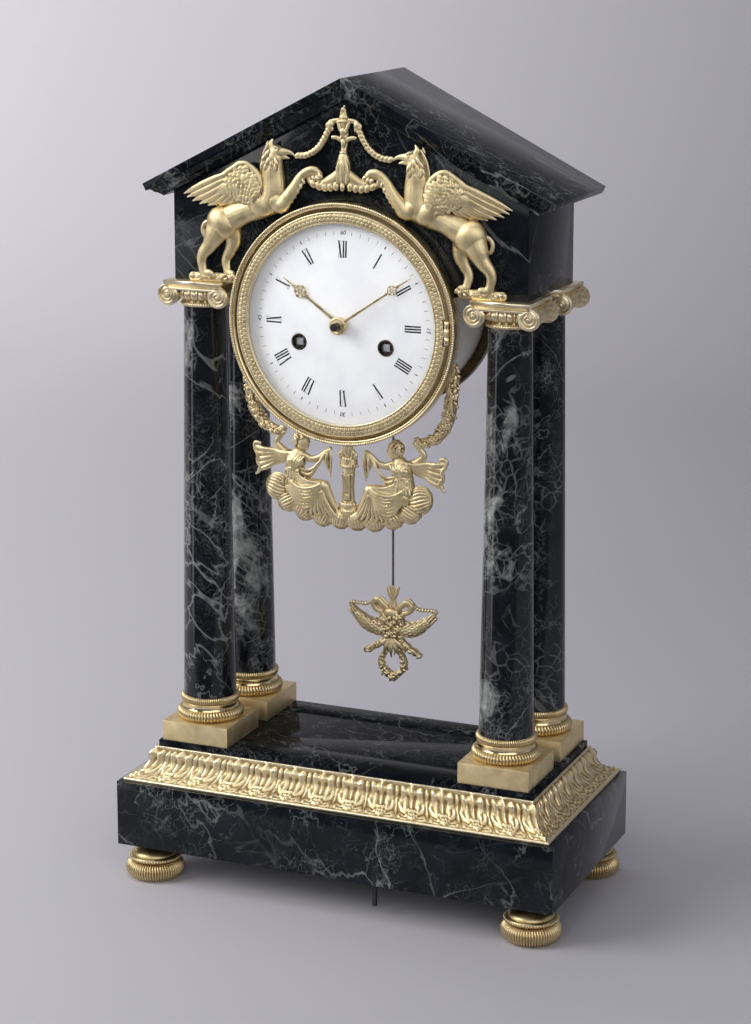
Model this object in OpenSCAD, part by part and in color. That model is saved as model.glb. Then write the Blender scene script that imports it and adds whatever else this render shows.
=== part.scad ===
// Portico clock: a marble base, four columns and a pediment that carries a drum movement.
// Millimetres. The origin is on the floor below the middle, the dial faces -Y and +Z is up.

/* [Base] */
// Width of the marble base block
base_w = 300; // [285:1:340]
// Depth of the marble base block
base_d = 148; // [146:1:180]
// Height of the marble base block
base_h = 43; // [36:1:60]
// Height of the feet
foot_h = 24; // [20:1:32]
// Largest radius of a foot
foot_r = 19.3; // [17:0.1:21]
// Distance of a foot's axis from the side edges of the base
foot_inset_x = 18.8; // [16:0.1:22]
// Distance of a foot's axis from the front and rear edges of the base
foot_inset_y = 15.9; // [14:0.1:18]
// Radius of the studs that hold the feet
foot_stud_r = 3; // [2:0.1:4]
// Width of the upper marble platform
platform_w = 258; // [254:1:262]
// Depth of the upper marble platform
platform_d = 108; // [107:1:110]
// Height of the upper marble platform
platform_h = 25; // [22.5:0.5:32]
// Height of the gilt leaf frieze round the platform
frieze_h = 21; // [16:0.5:22]
// How far the foot of the frieze spreads from the platform
frieze_spread = 17.4; // [14:0.1:18.5]

/* [Columns] */
// Distance of the column axes from the middle, sideways
column_x = 103.2; // [102.4:0.1:105]
// Distance of the column axes from the middle, front to back
column_y = 29.9; // [28:0.1:30.4]
// Side of a square brass plinth
plinth_w = 47; // [45:0.1:48]
// Height of a brass plinth
plinth_h = 13.4; // [10:0.1:18]
// Radius of the lower torus of a column base
torus_r = 22; // [20.5:0.1:22.4]
// Height of the lower torus of a column base
torus_h = 7; // [5:0.1:8]
// Height of the plain fillet of a column base
fillet_h = 4; // [3:0.1:6]
// Height of the beaded upper ring of a column base
bead_h = 5; // [4:0.1:6]
// Height of a marble column shaft
shaft_h = 257; // [240:1:270]
// Radius of a shaft at its foot
shaft_r = 17.3; // [16:0.1:17.8]
// Radius of a shaft at its top
shaft_top_r = 13.6; // [12.5:0.1:14.2]
// Height of a capital
capital_h = 17; // [16.2:0.1:20]
// Side of a capital's square top plate
abacus_w = 39; // [37:0.5:40]
// Thickness of a capital's square top plate
abacus_h = 4.5; // [3.5:0.1:6]
// Radius of a capital's scroll
volute_r = 7.3; // [6.5:0.1:7.7]
// Distance of a scroll's axis from the column axis
volute_x = 17.5; // [16.5:0.1:18]
// Radius of the tie rods inside the columns
tie_r = 3; // [2:0.1:4]

/* [Pediment] */
// Width of the pediment block
block_w = 236.5; // [230:0.5:244]
// Depth of the pediment block
block_d = 83; // [82:0.5:84]
// Height of the roof ridge above the underside of the pediment block
ridge_rise = 130; // [128:0.5:140]
// Slope of the roof in degrees
roof_pitch = 27.2; // [26:0.1:28]
// Width of the roof from eave to eave
roof_w = 271.8; // [262:0.5:280]
// Depth of the roof
roof_d = 100.6; // [96:0.2:106]
// Thickness of a roof slab
roof_t = 12; // [10:0.5:14]
// How far the roof's edge moulding steps in under the slab
moulding_in = 6.5; // [4:0.1:7]

/* [Drum] */
// Distance of the dial's middle below the pediment block
dial_drop = 20.4; // [17:0.1:24]
// Outer radius of the fixed front bezel
bezel_r = 75.4; // [75:0.1:76.4]
// Depth of the fixed front bezel
bezel_t = 11.9; // [11.6:0.1:12.4]
// Width of the fixed bezel outside the hinged one
bezel_band = 7.2; // [6.8:0.1:7.6]
// Width of the hinged inner bezel
door_band = 5.7; // [5.4:0.1:6.4]
// How far the dial's edge lies inside the hinged bezel's edge
dial_inset = 3.2; // [3:0.1:3.5]
// Thickness of the enamel dial
dial_t = 1.5; // [1:0.1:1.8]
// How far the dial bulges forward
dial_rise = 3; // [2:0.1:3.2]
// How far the glass bulges forward
glass_rise = 15.9; // [15:0.1:19]
// Outer radius of the drum
drum_r = 60; // [59.6:0.1:60.6]
// Wall of the drum
drum_wall = 1.4; // [1:0.1:1.6]
// Outer radius of the rear ring
rear_ring_r = 66; // [65.5:0.1:68]
// Depth of the rear ring
rear_ring_t = 10.5; // [10:0.1:14]

/* [Hands] */
// How far the minute hand's tip stays inside the dial's edge
minute_short = 8; // [7.5:0.5:14]
// How far the hour hand's tip stays inside the dial's edge
hour_short = 17; // [16.5:0.5:24]
// Angle of the minute hand, clockwise from twelve
minute_at = 55.5; // [0:0.5:360]
// Angle of the hour hand, clockwise from twelve
hour_at = 304.6; // [0:0.2:360]

/* [Movement] */
// Thickness of the movement plates
plate_t = 2; // [1.6:0.1:2.4]
// Radius of the back plate
plate_r = 50; // [49.8:0.1:51]
// Sideways distance of the winding squares from the middle
barrel_x = 29; // [28.8:0.1:30]
// Distance of the winding squares below the middle
barrel_drop = 12.7; // [12:0.1:13]
// Radius of a winding arbor
winding_r = 3.2; // [2.8:0.1:3.4]
// Height of the pallet axis above the middle of the dial
pallet_rise = 42; // [41.8:0.1:43]
// Length of the pendulum from its pivot to the middle of the bob
pendulum_l = 261; // [240:1:270]
// Distance of the pendulum behind the middle of the clock
pendulum_y = 33.4; // [33:0.1:34]
// Radius of the pendulum rod
rod_r = 0.8; // [0.6:0.05:1]

/* [Clearances] */
// Radial clearance of a turning fit
run_fit = 0.05; // [0.02:0.01:0.08]
// Clearance between fixed pieces that are laid side by side
seat_gap = 0.1; // [0.05:0.05:0.15]
// Clearance between pieces that move past each other
move_gap = 0.3; // [0.25:0.05:0.4]

/* [Hidden] */
$fn = 48;

// Heights of the stacked case
base_z = foot_h;
platform_z = base_z + base_h;
plinth_z = platform_z + platform_h;
ring_z = plinth_z + plinth_h;
shaft_z = ring_z + torus_h + fillet_h + bead_h;
capital_z = shaft_z + shaft_h;
block_z = capital_z + capital_h;
ridge_z = block_z + ridge_rise;
dial_z = block_z - dial_drop;

// Depths of the drum, from the front of the pediment block
face_y = -block_d / 2;
back_y = block_d / 2;
bezel_y = face_y - bezel_t;
door_r = bezel_r - bezel_band;
door_clear_r = door_r - door_band;
dial_r = door_r - dial_inset;
minute_l = dial_r - minute_short;
hour_l = dial_r - hour_short;
ledge_t = 3;
ledge_r = dial_r - 10;
dial_back_y = face_y - ledge_t;
dial_edge_y = dial_back_y - dial_t;
dial_front_y = dial_edge_y - dial_rise;
door_back_y = face_y - 5.9;
glass_t = 1.6;
glass_seat_y = door_back_y - 2.8;
door_lip = 0.2;
glass_edge_r = door_r - 2.2;
drum_in_r = drum_r - drum_wall;
drum_end_y = back_y + 2;
ring_end_y = back_y + rear_ring_t;
rear_door_t = 2.8;
rear_door_r = 58.2;
rear_seat_y = ring_end_y - rear_door_t - move_gap - 0.2;

// Hinges of the two doors
knuckle_r = 1.5;
hinge_pin_r = 0.6;
knuckle_half = 2.8;
knuckle_end = 7.2;
bezel_hinge_x = door_r + 2.1;
bezel_hinge_y = bezel_y + knuckle_r;
rear_hinge_x = rear_door_r + 3.8;
rear_hinge_y = ring_end_y + knuckle_r + 0.1;

// Movement planes and axes, in the frame of the dial's middle
front_plate_y1 = face_y + 5.5;
front_plate_y0 = front_plate_y1 - plate_t;
plate_gap = 32;
back_plate_y0 = front_plate_y1 + plate_gap;
back_plate_y1 = back_plate_y0 + plate_t;
barrel_teeth = 80;
centre_leaves = 18;
centre_teeth = 80;
third_leaves = 8;
third_teeth = 80;
escape_leaves = 8;
escape_teeth = 36;
cannon_leaves = 12;
minute_teeth = 36;
minute_leaves = 10;
hour_teeth = 40;
pin_leaves = 10;
pin_teeth = 60;
fly_leaves = 8;
going_at = [barrel_x, -barrel_drop];
strike_at = [-barrel_x, -barrel_drop];
barrel_m = 2 * norm(going_at) / (barrel_teeth + centre_leaves);
centre_m = 0.45;
third_m = 0.36;
motion_d = 12;
cannon_m = 2 * motion_d / (cannon_leaves + minute_teeth);
hour_m = 2 * motion_d / (minute_leaves + hour_teeth);
pin_m = 0.4;
pallet_at = [0, pallet_rise];
escape_r = 11;
escape_at = [0, pallet_rise - 15.5];
centre_third_d = centre_m * (centre_teeth + third_leaves) / 2;
third_escape_d = third_m * (third_teeth + escape_leaves) / 2;
third_z = (pow(escape_at[1], 2) + pow(centre_third_d, 2) - pow(third_escape_d, 2)) / (2 * escape_at[1]);
third_at = [sqrt(pow(centre_third_d, 2) - pow(third_z, 2)), third_z];
strike_pin_d = barrel_m * (barrel_teeth + pin_leaves) / 2;
pin_at = strike_at + strike_pin_d * [cos(80), sin(80)];
pin_fly_d = pin_m * (pin_teeth + fly_leaves) / 2;
fly_at = pin_at + pin_fly_d * [cos(100), sin(100)];
minute_wheel_at = [0, -motion_d];
bell_at = [0, -8];
bell_r = 33;
hammer_at = [-42, -14];
hammer_head = [-36.8, 1.5];
pillar_at = [[12, -44], [-12, -44], [40, 20], [-40, 20]];
strap_d = plate_r + 2.3;
strap_at = [for (s = [1, -1]) strap_d * [s * cos(35), sin(35)]];
foot_post_at = [for (a = [90, 210, 330]) 56.5 * [cos(a), sin(a)]];

// Arbor radii
centre_r = 1.5;
centre_front_r = 1;
third_r = 1;
escape_arbor_r = 0.9;
pallet_r = 1.2;
pin_r = 1.2;
fly_r = 0.9;
cannon_r = 1.7;
hour_pipe_r = 2.5;
stud_r = 1;
plate_holes = [[[0, 0], centre_r], [third_at, third_r], [escape_at, escape_arbor_r], [pallet_at, pallet_r],
    [going_at, winding_r], [strike_at, winding_r], [pin_at, pin_r], [fly_at, fly_r]];

// Stack of the hands on the centre arbor
arbor_tip_y = dial_front_y - 11;
hour_boss_y0 = dial_front_y - 2.6;
hour_boss_y1 = dial_front_y - 0.9;
minute_boss_y0 = dial_front_y - 7.2;
minute_boss_y1 = dial_front_y - 5;
hand_t = 0.7;
hour_tilt = 2.6;
minute_tilt = 5.3;
collet_r = 5.2;
bob_z = dial_z + pallet_rise - pendulum_l;
bob_top = 31;

// Colours of the finishes
marble = [0.09, 0.1, 0.11];
gilt = [0.79, 0.68, 0.42];
brass = [0.72, 0.6, 0.32];
steel = [0.35, 0.36, 0.4];
enamel = [0.93, 0.93, 0.95];
bronze = [0.16, 0.13, 0.1];

// Points of an arc about a centre, from one angle to another
function arc(cx, cy, r, a0, a1, n = 6) = [for (i = [0:n]) let(a = a0 + (a1 - a0) * i / n)
    [cx + r * cos(a), cy + r * sin(a)]];

// Tooth outline: each tooth is centred on its pitch angle and is narrower at its tip than at its root
function teeth(n, root, tip, root_share, tip_share) = [for (i = [0:n - 1]) for (k = [0:3])
    let(a = 360 / n * (i + [-root_share / 2, -tip_share / 2, tip_share / 2, root_share / 2][k]))
    (k == 0 || k == 3 ? root : tip) * [cos(a), sin(a)]];

// Direction from one axis to another
function toward(a, b) = atan2(b[1] - a[1], b[0] - a[0]);

// Slab of a flat outline drawn in X and Z, from one depth to another
module slab(y0, y1) {
    translate([0, y1, 0]) rotate([90, 0, 0]) linear_extrude(y1 - y0) children();
}

// Round bar along Y
module bar_y(r, y0, y1) {
    translate([0, y1, 0]) rotate([90, 0, 0]) cylinder(r = r, h = y1 - y0);
}

// Turned piece about the Y axis, from an outline of radius and depth
module turned_y(outline) {
    rotate([-90, 0, 0]) rotate_extrude() polygon(outline);
}

// Places a child at an axis of the movement
module at(p) {
    translate([p[0], 0, dial_z + p[1]]) children();
}

// Places a child on each of the four columns
module each_column() {
    for (sx = [-1, 1]) for (sy = [-1, 1]) translate([sx * column_x, sy * column_y, 0]) children();
}

// Places a child over each of the four feet
module each_foot() {
    for (sx = [-1, 1]) for (sy = [-1, 1])
        translate([sx * (base_w / 2 - foot_inset_x), sy * (base_d / 2 - foot_inset_y), 0]) children();
}

// Wheel with a tooth pointing at the pinion that it drives
module wheel_2d(n, m, dir) {
    r = n * m / 2;
    rotate(dir) polygon(teeth(n, r - 1.2 * m, r + 0.7 * m, 0.62, 0.14));
}

// Pinion with a gap pointing at the wheel that drives it
module pinion_2d(n, m, dir) {
    r = n * m / 2;
    rotate(dir + 180 / n) polygon(teeth(n, r - 1.05 * m, r + 0.5 * m, 0.44, 0.16));
}

// Chain of rounded lengths through points that each hold x, y, z and a radius
module limb(points) {
    for (i = [0:len(points) - 2]) hull() {
        ball(points[i]);
        ball(points[i + 1]);
    }
}

module ball(p) {
    translate([p[0], p[1], p[2]]) sphere(r = p[3], $fn = 8);
}

// Base and platform

module base_block() {
    color(marble) difference() {
        translate([-base_w / 2, -base_d / 2, base_z]) cube([base_w, base_d, base_h]);
        each_column() translate([0, 0, base_z - 1]) cylinder(r = tie_r + seat_gap, h = base_h + 2);
        each_foot() translate([0, 0, base_z - 1]) cylinder(r = foot_stud_r + run_fit, h = foot_stud_in + 1);
        each_frieze_bolt() translate([0, 0, base_z - 1]) cylinder(r = frieze_bolt_r + seat_gap, h = base_h + 2);
    }
}

// Bolts that hold the leaf frieze down through the base
frieze_bolt_r = 1.5;
frieze_bolt_x = 28;
frieze_bolt_down = 18;

module each_frieze_bolt() {
    for (turn = [0, 180]) rotate(turn) translate([frieze_bolt_x, -platform_d / 2 - frieze_spread / 2, 0]) children();
}

foot_stud_in = 25;
foot_stud_down = 14;

module base_platform() {
    color(marble) difference() {
        translate([-platform_w / 2, -platform_d / 2, platform_z]) cube([platform_w, platform_d, platform_h]);
        each_column() translate([0, 0, platform_z - 1]) cylinder(r = tie_r + seat_gap, h = platform_h + 2);
    }
}

frieze_flange = 2.5;
frieze_crown = 1.5;
frieze_top = 1.9;
frieze_edge = concat([[frieze_spread, 0], [frieze_spread, frieze_flange]],
    [for (t = [0:15:90]) [frieze_top + (frieze_spread - 1 - frieze_top) * (1 - sin(t)),
        frieze_flange + (frieze_h - frieze_flange - frieze_crown) * (1 - cos(t))]],
    [[frieze_top, frieze_h]]);

// Whole section of the frieze across a platform of the given half width
function frieze_section(half) = let (edge = [for (p = frieze_edge) [half + p[0], p[1]]])
    concat(edge, flipped(edge));

module leaf_frieze() {
    a = platform_w / 2 + seat_gap;
    b = platform_d / 2 + seat_gap;
    color(gilt) translate([0, 0, platform_z]) difference() {
        intersection() {
            translate([-a - frieze_spread, 0, 0]) rotate([90, 0, 90])
                linear_extrude(2 * (a + frieze_spread)) polygon(frieze_section(b));
            slab(-b - frieze_spread, b + frieze_spread) polygon(frieze_section(a));
        }
        translate([-a, -b, -1]) cube([2 * a, 2 * b, frieze_h + 2]);
    }
}

foot_torus_h = 0.52 * foot_h;
foot_ring_h = 0.13 * foot_h;
foot_dome_h = 0.2 * foot_h;
foot_dome_r = foot_r - 4.5;
foot_collar_r = foot_stud_r + 1.2;

module feet() {
    color(gilt) each_foot() difference() {
        rotate_extrude() polygon(concat([[0, 0], [foot_r - foot_torus_h / 2, 0]],
            arc(foot_r - foot_torus_h / 2, foot_torus_h / 2, foot_torus_h / 2, -75, 75),
            [[foot_r - foot_torus_h / 2, foot_torus_h]],
            arc(foot_r - 2.2 - foot_ring_h / 2, foot_torus_h + foot_ring_h / 2, foot_ring_h / 2, -80, 80, 4),
            [for (t = [0:15:90]) [foot_collar_r + (foot_dome_r - foot_collar_r) * cos(t),
                foot_torus_h + foot_ring_h + foot_dome_h * sin(t)]],
            [[foot_collar_r, foot_h], [0, foot_h]]));
        translate([0, 0, foot_h - foot_stud_down]) cylinder(r = foot_stud_r + run_fit, h = foot_stud_down + 1);
    }
}

module foot_studs() {
    color(steel) each_foot() translate([0, 0, foot_h - foot_stud_down])
        cylinder(r = foot_stud_r, h = foot_stud_down + foot_stud_in);
}

// Columns

module plinths() {
    color(brass) each_column() translate([0, 0, plinth_z]) difference() {
        translate([-plinth_w / 2, -plinth_w / 2, 0]) cube([plinth_w, plinth_w, plinth_h]);
        translate([0, 0, -1]) cylinder(r = tie_r + seat_gap, h = plinth_h + 2);
    }
}

module column_bases() {
    top_r = shaft_r + 2.1;
    color(gilt) each_column() translate([0, 0, ring_z]) rotate_extrude() polygon(concat(
        [[tie_r + seat_gap, 0]],
        arc(torus_r - torus_h / 2, torus_h / 2, torus_h / 2, -90, 90),
        [[shaft_r + 1, torus_h], [shaft_r + 1, torus_h + fillet_h]],
        arc(top_r - bead_h / 2, torus_h + fillet_h + bead_h / 2, bead_h / 2, -90, 90),
        [[tie_r + seat_gap, torus_h + fillet_h + bead_h]]));
}

module column_shaft(sx, sy) {
    color(marble) translate([sx * column_x, sy * column_y, shaft_z]) difference() {
        cylinder(r1 = shaft_r, r2 = shaft_top_r, h = shaft_h);
        translate([0, 0, -1]) cylinder(r = tie_r + seat_gap, h = shaft_h + 2);
    }
}

module column_front_left() { column_shaft(-1, -1); }
module column_front_right() { column_shaft(1, -1); }
module column_rear_left() { column_shaft(-1, 1); }
module column_rear_right() { column_shaft(1, 1); }

// Scroll pair of a capital: a turned bolster that is waisted in the middle
module bolster() {
    half = abacus_w / 2 - 1.5;
    waist = 0.62 * volute_r;
    translate([0, 0, volute_r + seat_gap]) turned_y([[0, -half], [volute_r, -half], [volute_r, -half + 3],
        [waist + 0.8, -half + 8], [waist, 0], [waist + 0.8, half - 8], [volute_r, half - 3],
        [volute_r, half], [0, half]]);
}

module capitals() {
    neck_r = shaft_top_r + 1.8;
    color(gilt) each_column() translate([0, 0, capital_z]) difference() {
        union() {
            cylinder(r = neck_r, h = capital_h - abacus_h);
            for (s = [-1, 1]) translate([s * volute_x, 0, 0]) bolster();
            translate([-abacus_w / 2, -abacus_w / 2, capital_h - abacus_h])
                cube([abacus_w, abacus_w, abacus_h]);
        }
        translate([0, 0, -1]) cylinder(r = tie_r + seat_gap, h = capital_h + 2);
    }
}

tie_up = 25;
tie_nut_r = 6;
tie_nut_h = 5;
tie_end = 2;

module tie_rods() {
    color(steel) each_column() {
        translate([0, 0, base_z - tie_nut_h - tie_end])
            cylinder(r = tie_r, h = block_z + tie_up - base_z + tie_nut_h + tie_end);
        translate([0, 0, base_z - tie_nut_h]) cylinder(r = tie_nut_r, h = tie_nut_h, $fn = 6);
    }
    color(steel) each_frieze_bolt() {
        translate([0, 0, base_z - frieze_bolt_down]) cylinder(r = frieze_bolt_r, h = base_h + frieze_bolt_down);
        translate([0, 0, base_z - 2]) cylinder(r = 3.4, h = 2, $fn = 6);
    }
}

// Pediment

roof_drop = roof_t / cos(roof_pitch);

module pediment_block() {
    side_h = ridge_rise - roof_drop - block_w / 2 * tan(roof_pitch);
    color(marble) difference() {
        translate([0, 0, block_z]) slab(face_y, back_y) polygon([[-block_w / 2, 0], [block_w / 2, 0],
            [block_w / 2, side_h], [0, ridge_rise - roof_drop], [-block_w / 2, side_h]]);
        at([0, 0]) bar_y(drum_r + seat_gap, face_y - 1, back_y + 1);
        each_column() translate([0, 0, block_z - 1]) cylinder(r = tie_r + seat_gap, h = tie_up + seat_gap + 1);
    }
}

// Edge moulding of a roof slab, from its top edge inwards and down: a nose, a hollow and a round
function moulding(e) = [[e, 0], [e, -0.4 * roof_t], [e - 0.35 * moulding_in, -0.45 * roof_t],
    [e - 0.55 * moulding_in, -0.66 * roof_t], [e - 0.7 * moulding_in, -0.72 * roof_t],
    [e - 0.9 * moulding_in, -0.88 * roof_t], [e - moulding_in, -roof_t]];

function flipped(points) = [for (i = [len(points) - 1:-1:0]) [-points[i][0], points[i][1]]];

// One roof slab from the ridge down to the right, with the moulding returned along its eave
module roof_slab() {
    slope_l = roof_w / 2 / cos(roof_pitch);
    translate([0, 0, ridge_z]) rotate([0, roof_pitch, 0]) intersection() {
        rotate([90, 0, 90]) linear_extrude(slope_l + 1)
            polygon(concat(moulding(roof_d / 2), flipped(moulding(roof_d / 2))));
        slab(-roof_d / 2 - 1, roof_d / 2 + 1)
            polygon(concat([[0, 0]], moulding(slope_l), [[roof_t * tan(roof_pitch), -roof_t]]));
    }
}

module roof_right() { color(marble) roof_slab(); }
module roof_left() { color(marble) mirror([1, 0, 0]) roof_slab(); }

// Gilt mounts on the pediment. Points give x from the middle, depth from the block's face,
// height above the block's underside, and a radius. Depths are flattened, as relief castings are.

relief = 0.62;

module on_face() {
    difference() {
        translate([0, face_y, block_z]) scale([1, relief, 1]) children();
        translate([-block_w / 2, face_y, block_z - 20]) cube([block_w, 40, ridge_rise + 20]);
        at([0, 0]) bar_y(bezel_r + move_gap, bezel_y - 10, face_y + 1);
    }
}

module griffin() {
    on_face() {
        limb([[82.5, -4, 37, 10.5], [67, -5, 45, 5.4], [49, -5, 52, 8.5], [46.5, -5, 61, 8], [47, -5, 71, 7.2],
            [46.5, -5, 80, 6.4], [42.5, -6, 83.5, 5], [37.5, -6, 83, 2.8], [33.4, -6, 81.8, 1]]);
        limb([[48, -7, 85, 2.4], [45, -7, 91, 0.8]]);
        limb([[86, -7, 33.5, 8], [90, -8, 25, 5], [98, -8, 15.5, 2.8], [95.5, -8, 7, 2.5], [90.5, -9, 6, 2.6]]);
        limb([[77.5, -3, 33, 7], [75.5, -3, 25.5, 4.4], [82, -3, 14.5, 2.6], [80, -4, 7, 2.4], [76.8, -5, 6, 2.4]]);
        limb([[45, -6, 52, 6], [41.5, -8, 50, 4], [32.5, -8, 61.5, 3], [27, -7, 70, 2.3], [18.5, -6, 73.4, 2.3],
            [15.8, -6, 70.5, 2], [19.4, -6, 68.4, 1.4]]);
        limb([[92, -5, 35.5, 1.6], [95.4, -5, 31.5, 1.5], [93, -5, 27.5, 1.5]]);
        limb([[78, -5, 3.2, 3.2], [92, -7, 3.4, 3.4], [104, -6, 3.2, 3.2]]);
        limb([[56, -9, 57, 6.5], [63, -8, 65, 7], [68, -6, 69, 6]]);
        limb([[63, -8, 58, 6], [76, -6, 58, 6.5], [90, -5, 54.5, 5], [108, -4, 55, 0.8]]);
    }
}

module griffin_right() { color(gilt) griffin(); }
module griffin_left() { color(gilt) mirror([1, 0, 0]) griffin(); }

module pediment_ornament() {
    color(gilt) on_face() {
        limb([[0, -4, 113.2, 0.9], [0, -4, 108, 2.6], [0, -4, 104, 3.7], [0, -4, 100, 2.2], [0, -4, 85.5, 2.3],
            [0, -5, 82, 3], [0, -5, 76.5, 5], [0, -5, 70.5, 6], [0, -5, 65, 6.6], [0, -5, 62.5, 5]]);
        for (side = [0, 1]) mirror([side, 0, 0]) {
            limb([[0, -4, 93.6, 2.4], [8, -4, 94.2, 1.3]]);
            limb([[3, -4, 104.5, 1.5], [8.5, -4, 103.2, 1.7], [10.5, -4, 99.5, 1.7], [7, -4, 98, 1.3]]);
            limb([[4, -5, 68, 3], [10, -5, 64.8, 3.4], [16, -5, 63, 2.8], [20.5, -5, 62.8, 2], [23, -5, 64.6, 1.1]]);
            limb([[9, -4, 101, 2.2], [12, -4, 94, 2.7], [16, -4, 87.9, 2.8], [21, -4, 83.6, 2.7],
                [26.5, -4, 81.5, 2.2], [29.8, -4, 81.2, 1.3]]);
        }
    }
}

// Gilt mounts under the bezel. Heights of the figures are from the bezel's underside.

figure_y = face_y + 3.2;
figure_depth = 0.72;

module figure_side() {
    limb([[30.3, 0, -2.6, 4.5], [32.3, 0, -9, 2.4], [36.2, 0, -13.6, 5.6], [37.6, 0, -21, 4.4],
        [38, 0, -33.1, 7.5], [24, -2, -31.6, 6], [14.3, -3, -30.2, 4.6], [6.8, -2, -45.6, 3.2]]);
    limb([[29.5, -1, -12.1, 3], [36.2, 0, -12.6, 4], [42.2, 1, -9.6, 3.2], [50, 1, -5.6, 2.2], [43.4, 0, 2.6, 1.8]]);
    limb([[29.5, -1, -12.1, 3], [20, -1, -11.6, 2.2], [11.8, -1, -5.2, 1.7], [12.7, -1, -23.6, 1.3]]);
    limb([[46, 1, -11.6, 3], [57, 1, -12.6, 4.2], [65.5, 1, -8.6, 1.8]]);
    limb([[57, 1, -13.6, 4], [64.5, 1, -25.6, 1.9]]);
    limb([[38, -2, -34.6, 7], [24, -3, -44.6, 6.5], [10, -3, -48.6, 4]]);
    limb([[53, 0, -31.1, 4.6], [47.5, 0, -39.6, 5.6], [38.5, 0, -45.6, 6.2], [27.5, 0, -49.1, 6.2],
        [14, 0, -50.6, 6.2], [0, 0, -51.4, 6.2]]);
}

module figure_group() {
    color(gilt) at([0, 0]) difference() {
        union() {
            translate([0, figure_y, -bezel_r]) scale([1, figure_depth, 1]) {
                for (side = [0, 1]) mirror([side, 0, 0]) figure_side();
                limb([[0, 0, -4.1, 2.2], [0, 0, -8.6, 4], [0, 0, -13.6, 6], [0, 0, -16.6, 3.8], [0, 0, -37.6, 3.5],
                    [0, 0, -42.6, 6.2], [0, 0, -49.6, 7]]);
            }
            translate([-figure_tongue_w / 2, face_y, -bezel_r - 9])
                cube([figure_tongue_w, figure_tongue_t, 14]);
        }
        translate([-bezel_r, bezel_y, -bezel_r - 0.2]) cube([2 * bezel_r, bezel_t, 30]);
    }
}

figure_tongue_w = 7;
figure_tongue_t = 4;

garland_y = face_y + 5;

// Points of a garland: distance outside the bezel, angle below the dial's level, radius
garland_run = [[-2.2, 18.3, 3.2], [2.9, 28.2, 4.2], [8.3, 35.9, 4.4], [12.7, 42.5, 4.4], [14.6, 48.6, 4.3],
    [13.4, 53.7, 3.6], [11.5, 56, 2.2]];

module garlands() {
    color(gilt) at([0, 0]) for (side = [0, 1]) mirror([side, 0, 0]) translate([0, garland_y, 0]) {
        limb([for (p = garland_run) [(bezel_r + p[0]) * cos(p[1]), 0, -(bezel_r + p[0]) * sin(p[1]), p[2]]]);
        hull() {
            translate([bezel_r - 12.9, face_y - garland_y, -25]) cube([6.5, 1, 5]);
            translate([bezel_r - 10.4, -1, -25]) cube([4, 1, 5]);
        }
    }
}

// Drum, bezels and doors

slot_half_w = 12;
slot_front = 3.4;
slot_rear = 2.6;

module drum_case() {
    color(brass) at([0, 0]) difference() {
        turned_y([[drum_in_r, face_y], [drum_r, face_y], [drum_r, drum_end_y], [drum_in_r, drum_end_y]]);
        translate([-slot_half_w, pendulum_y - slot_front, -drum_r - 1])
            cube([2 * slot_half_w, slot_front + slot_rear, drum_r / 2]);
    }
}

rope_w = 2.8;
seat_y = door_back_y + move_gap;

// Pair of hinge knuckles outside the moving one, with the webs that join them to what carries them
module outer_knuckles(x, y, web_y) {
    for (s = [-1, 1]) translate([x, 0, s > 0 ? knuckle_half + move_gap : -knuckle_end]) difference() {
        union() {
            translate([0, y, 0]) cylinder(r = knuckle_r, h = knuckle_end - knuckle_half - move_gap);
            translate([-0.9, min(y, web_y), 0])
                cube([1.8, abs(web_y - y), knuckle_end - knuckle_half - move_gap]);
        }
        translate([0, y, -1]) cylinder(r = hinge_pin_r + 0.02, h = knuckle_end + 2);
    }
}

module bezel_ring() {
    rope_r = bezel_r - rope_w / 2;
    color(gilt) at([0, 0]) union() {
        turned_y(concat([[ledge_r, face_y], [bezel_r - 1, face_y], [bezel_r, face_y - 1]],
            arc(rope_r, bezel_y + rope_w / 2, rope_w / 2, 0, -180),
            [[bezel_r - rope_w - 0.5, seat_y - 2.6], [bezel_r - rope_w - 1.8, seat_y - 0.7],
            [bezel_r - rope_w - 3.2, seat_y], [dial_r + seat_gap, seat_y], [dial_r + seat_gap, dial_back_y],
            [ledge_r, dial_back_y]]));
        outer_knuckles(bezel_hinge_x, bezel_hinge_y, seat_y + 0.5);
    }
}

module bezel_door() {
    color(gilt) at([0, 0]) difference() {
        union() {
            turned_y([[door_clear_r, bezel_y + 0.9], [door_clear_r + 0.8, bezel_y + door_lip],
                [door_r - 0.8, bezel_y + door_lip], [door_r, bezel_y + 0.9], [door_r, door_back_y],
                [glass_edge_r + seat_gap, door_back_y], [glass_edge_r + seat_gap, glass_seat_y],
                [door_clear_r, glass_seat_y]]);
            translate([door_r - 2, bezel_hinge_y - 0.7, -knuckle_half])
                cube([bezel_hinge_x - door_r + 2, 1.4, 2 * knuckle_half]);
            translate([bezel_hinge_x, bezel_hinge_y, -knuckle_half])
                cylinder(r = knuckle_r, h = 2 * knuckle_half);
        }
        translate([bezel_hinge_x, bezel_hinge_y, -knuckle_half - 1])
            cylinder(r = hinge_pin_r + run_fit, h = 2 * knuckle_half + 2);
    }
}

module bezel_hinge_pin() {
    color(steel) at([0, 0]) translate([bezel_hinge_x, bezel_hinge_y, -knuckle_end])
        cylinder(r = hinge_pin_r, h = 2 * knuckle_end);
}

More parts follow.
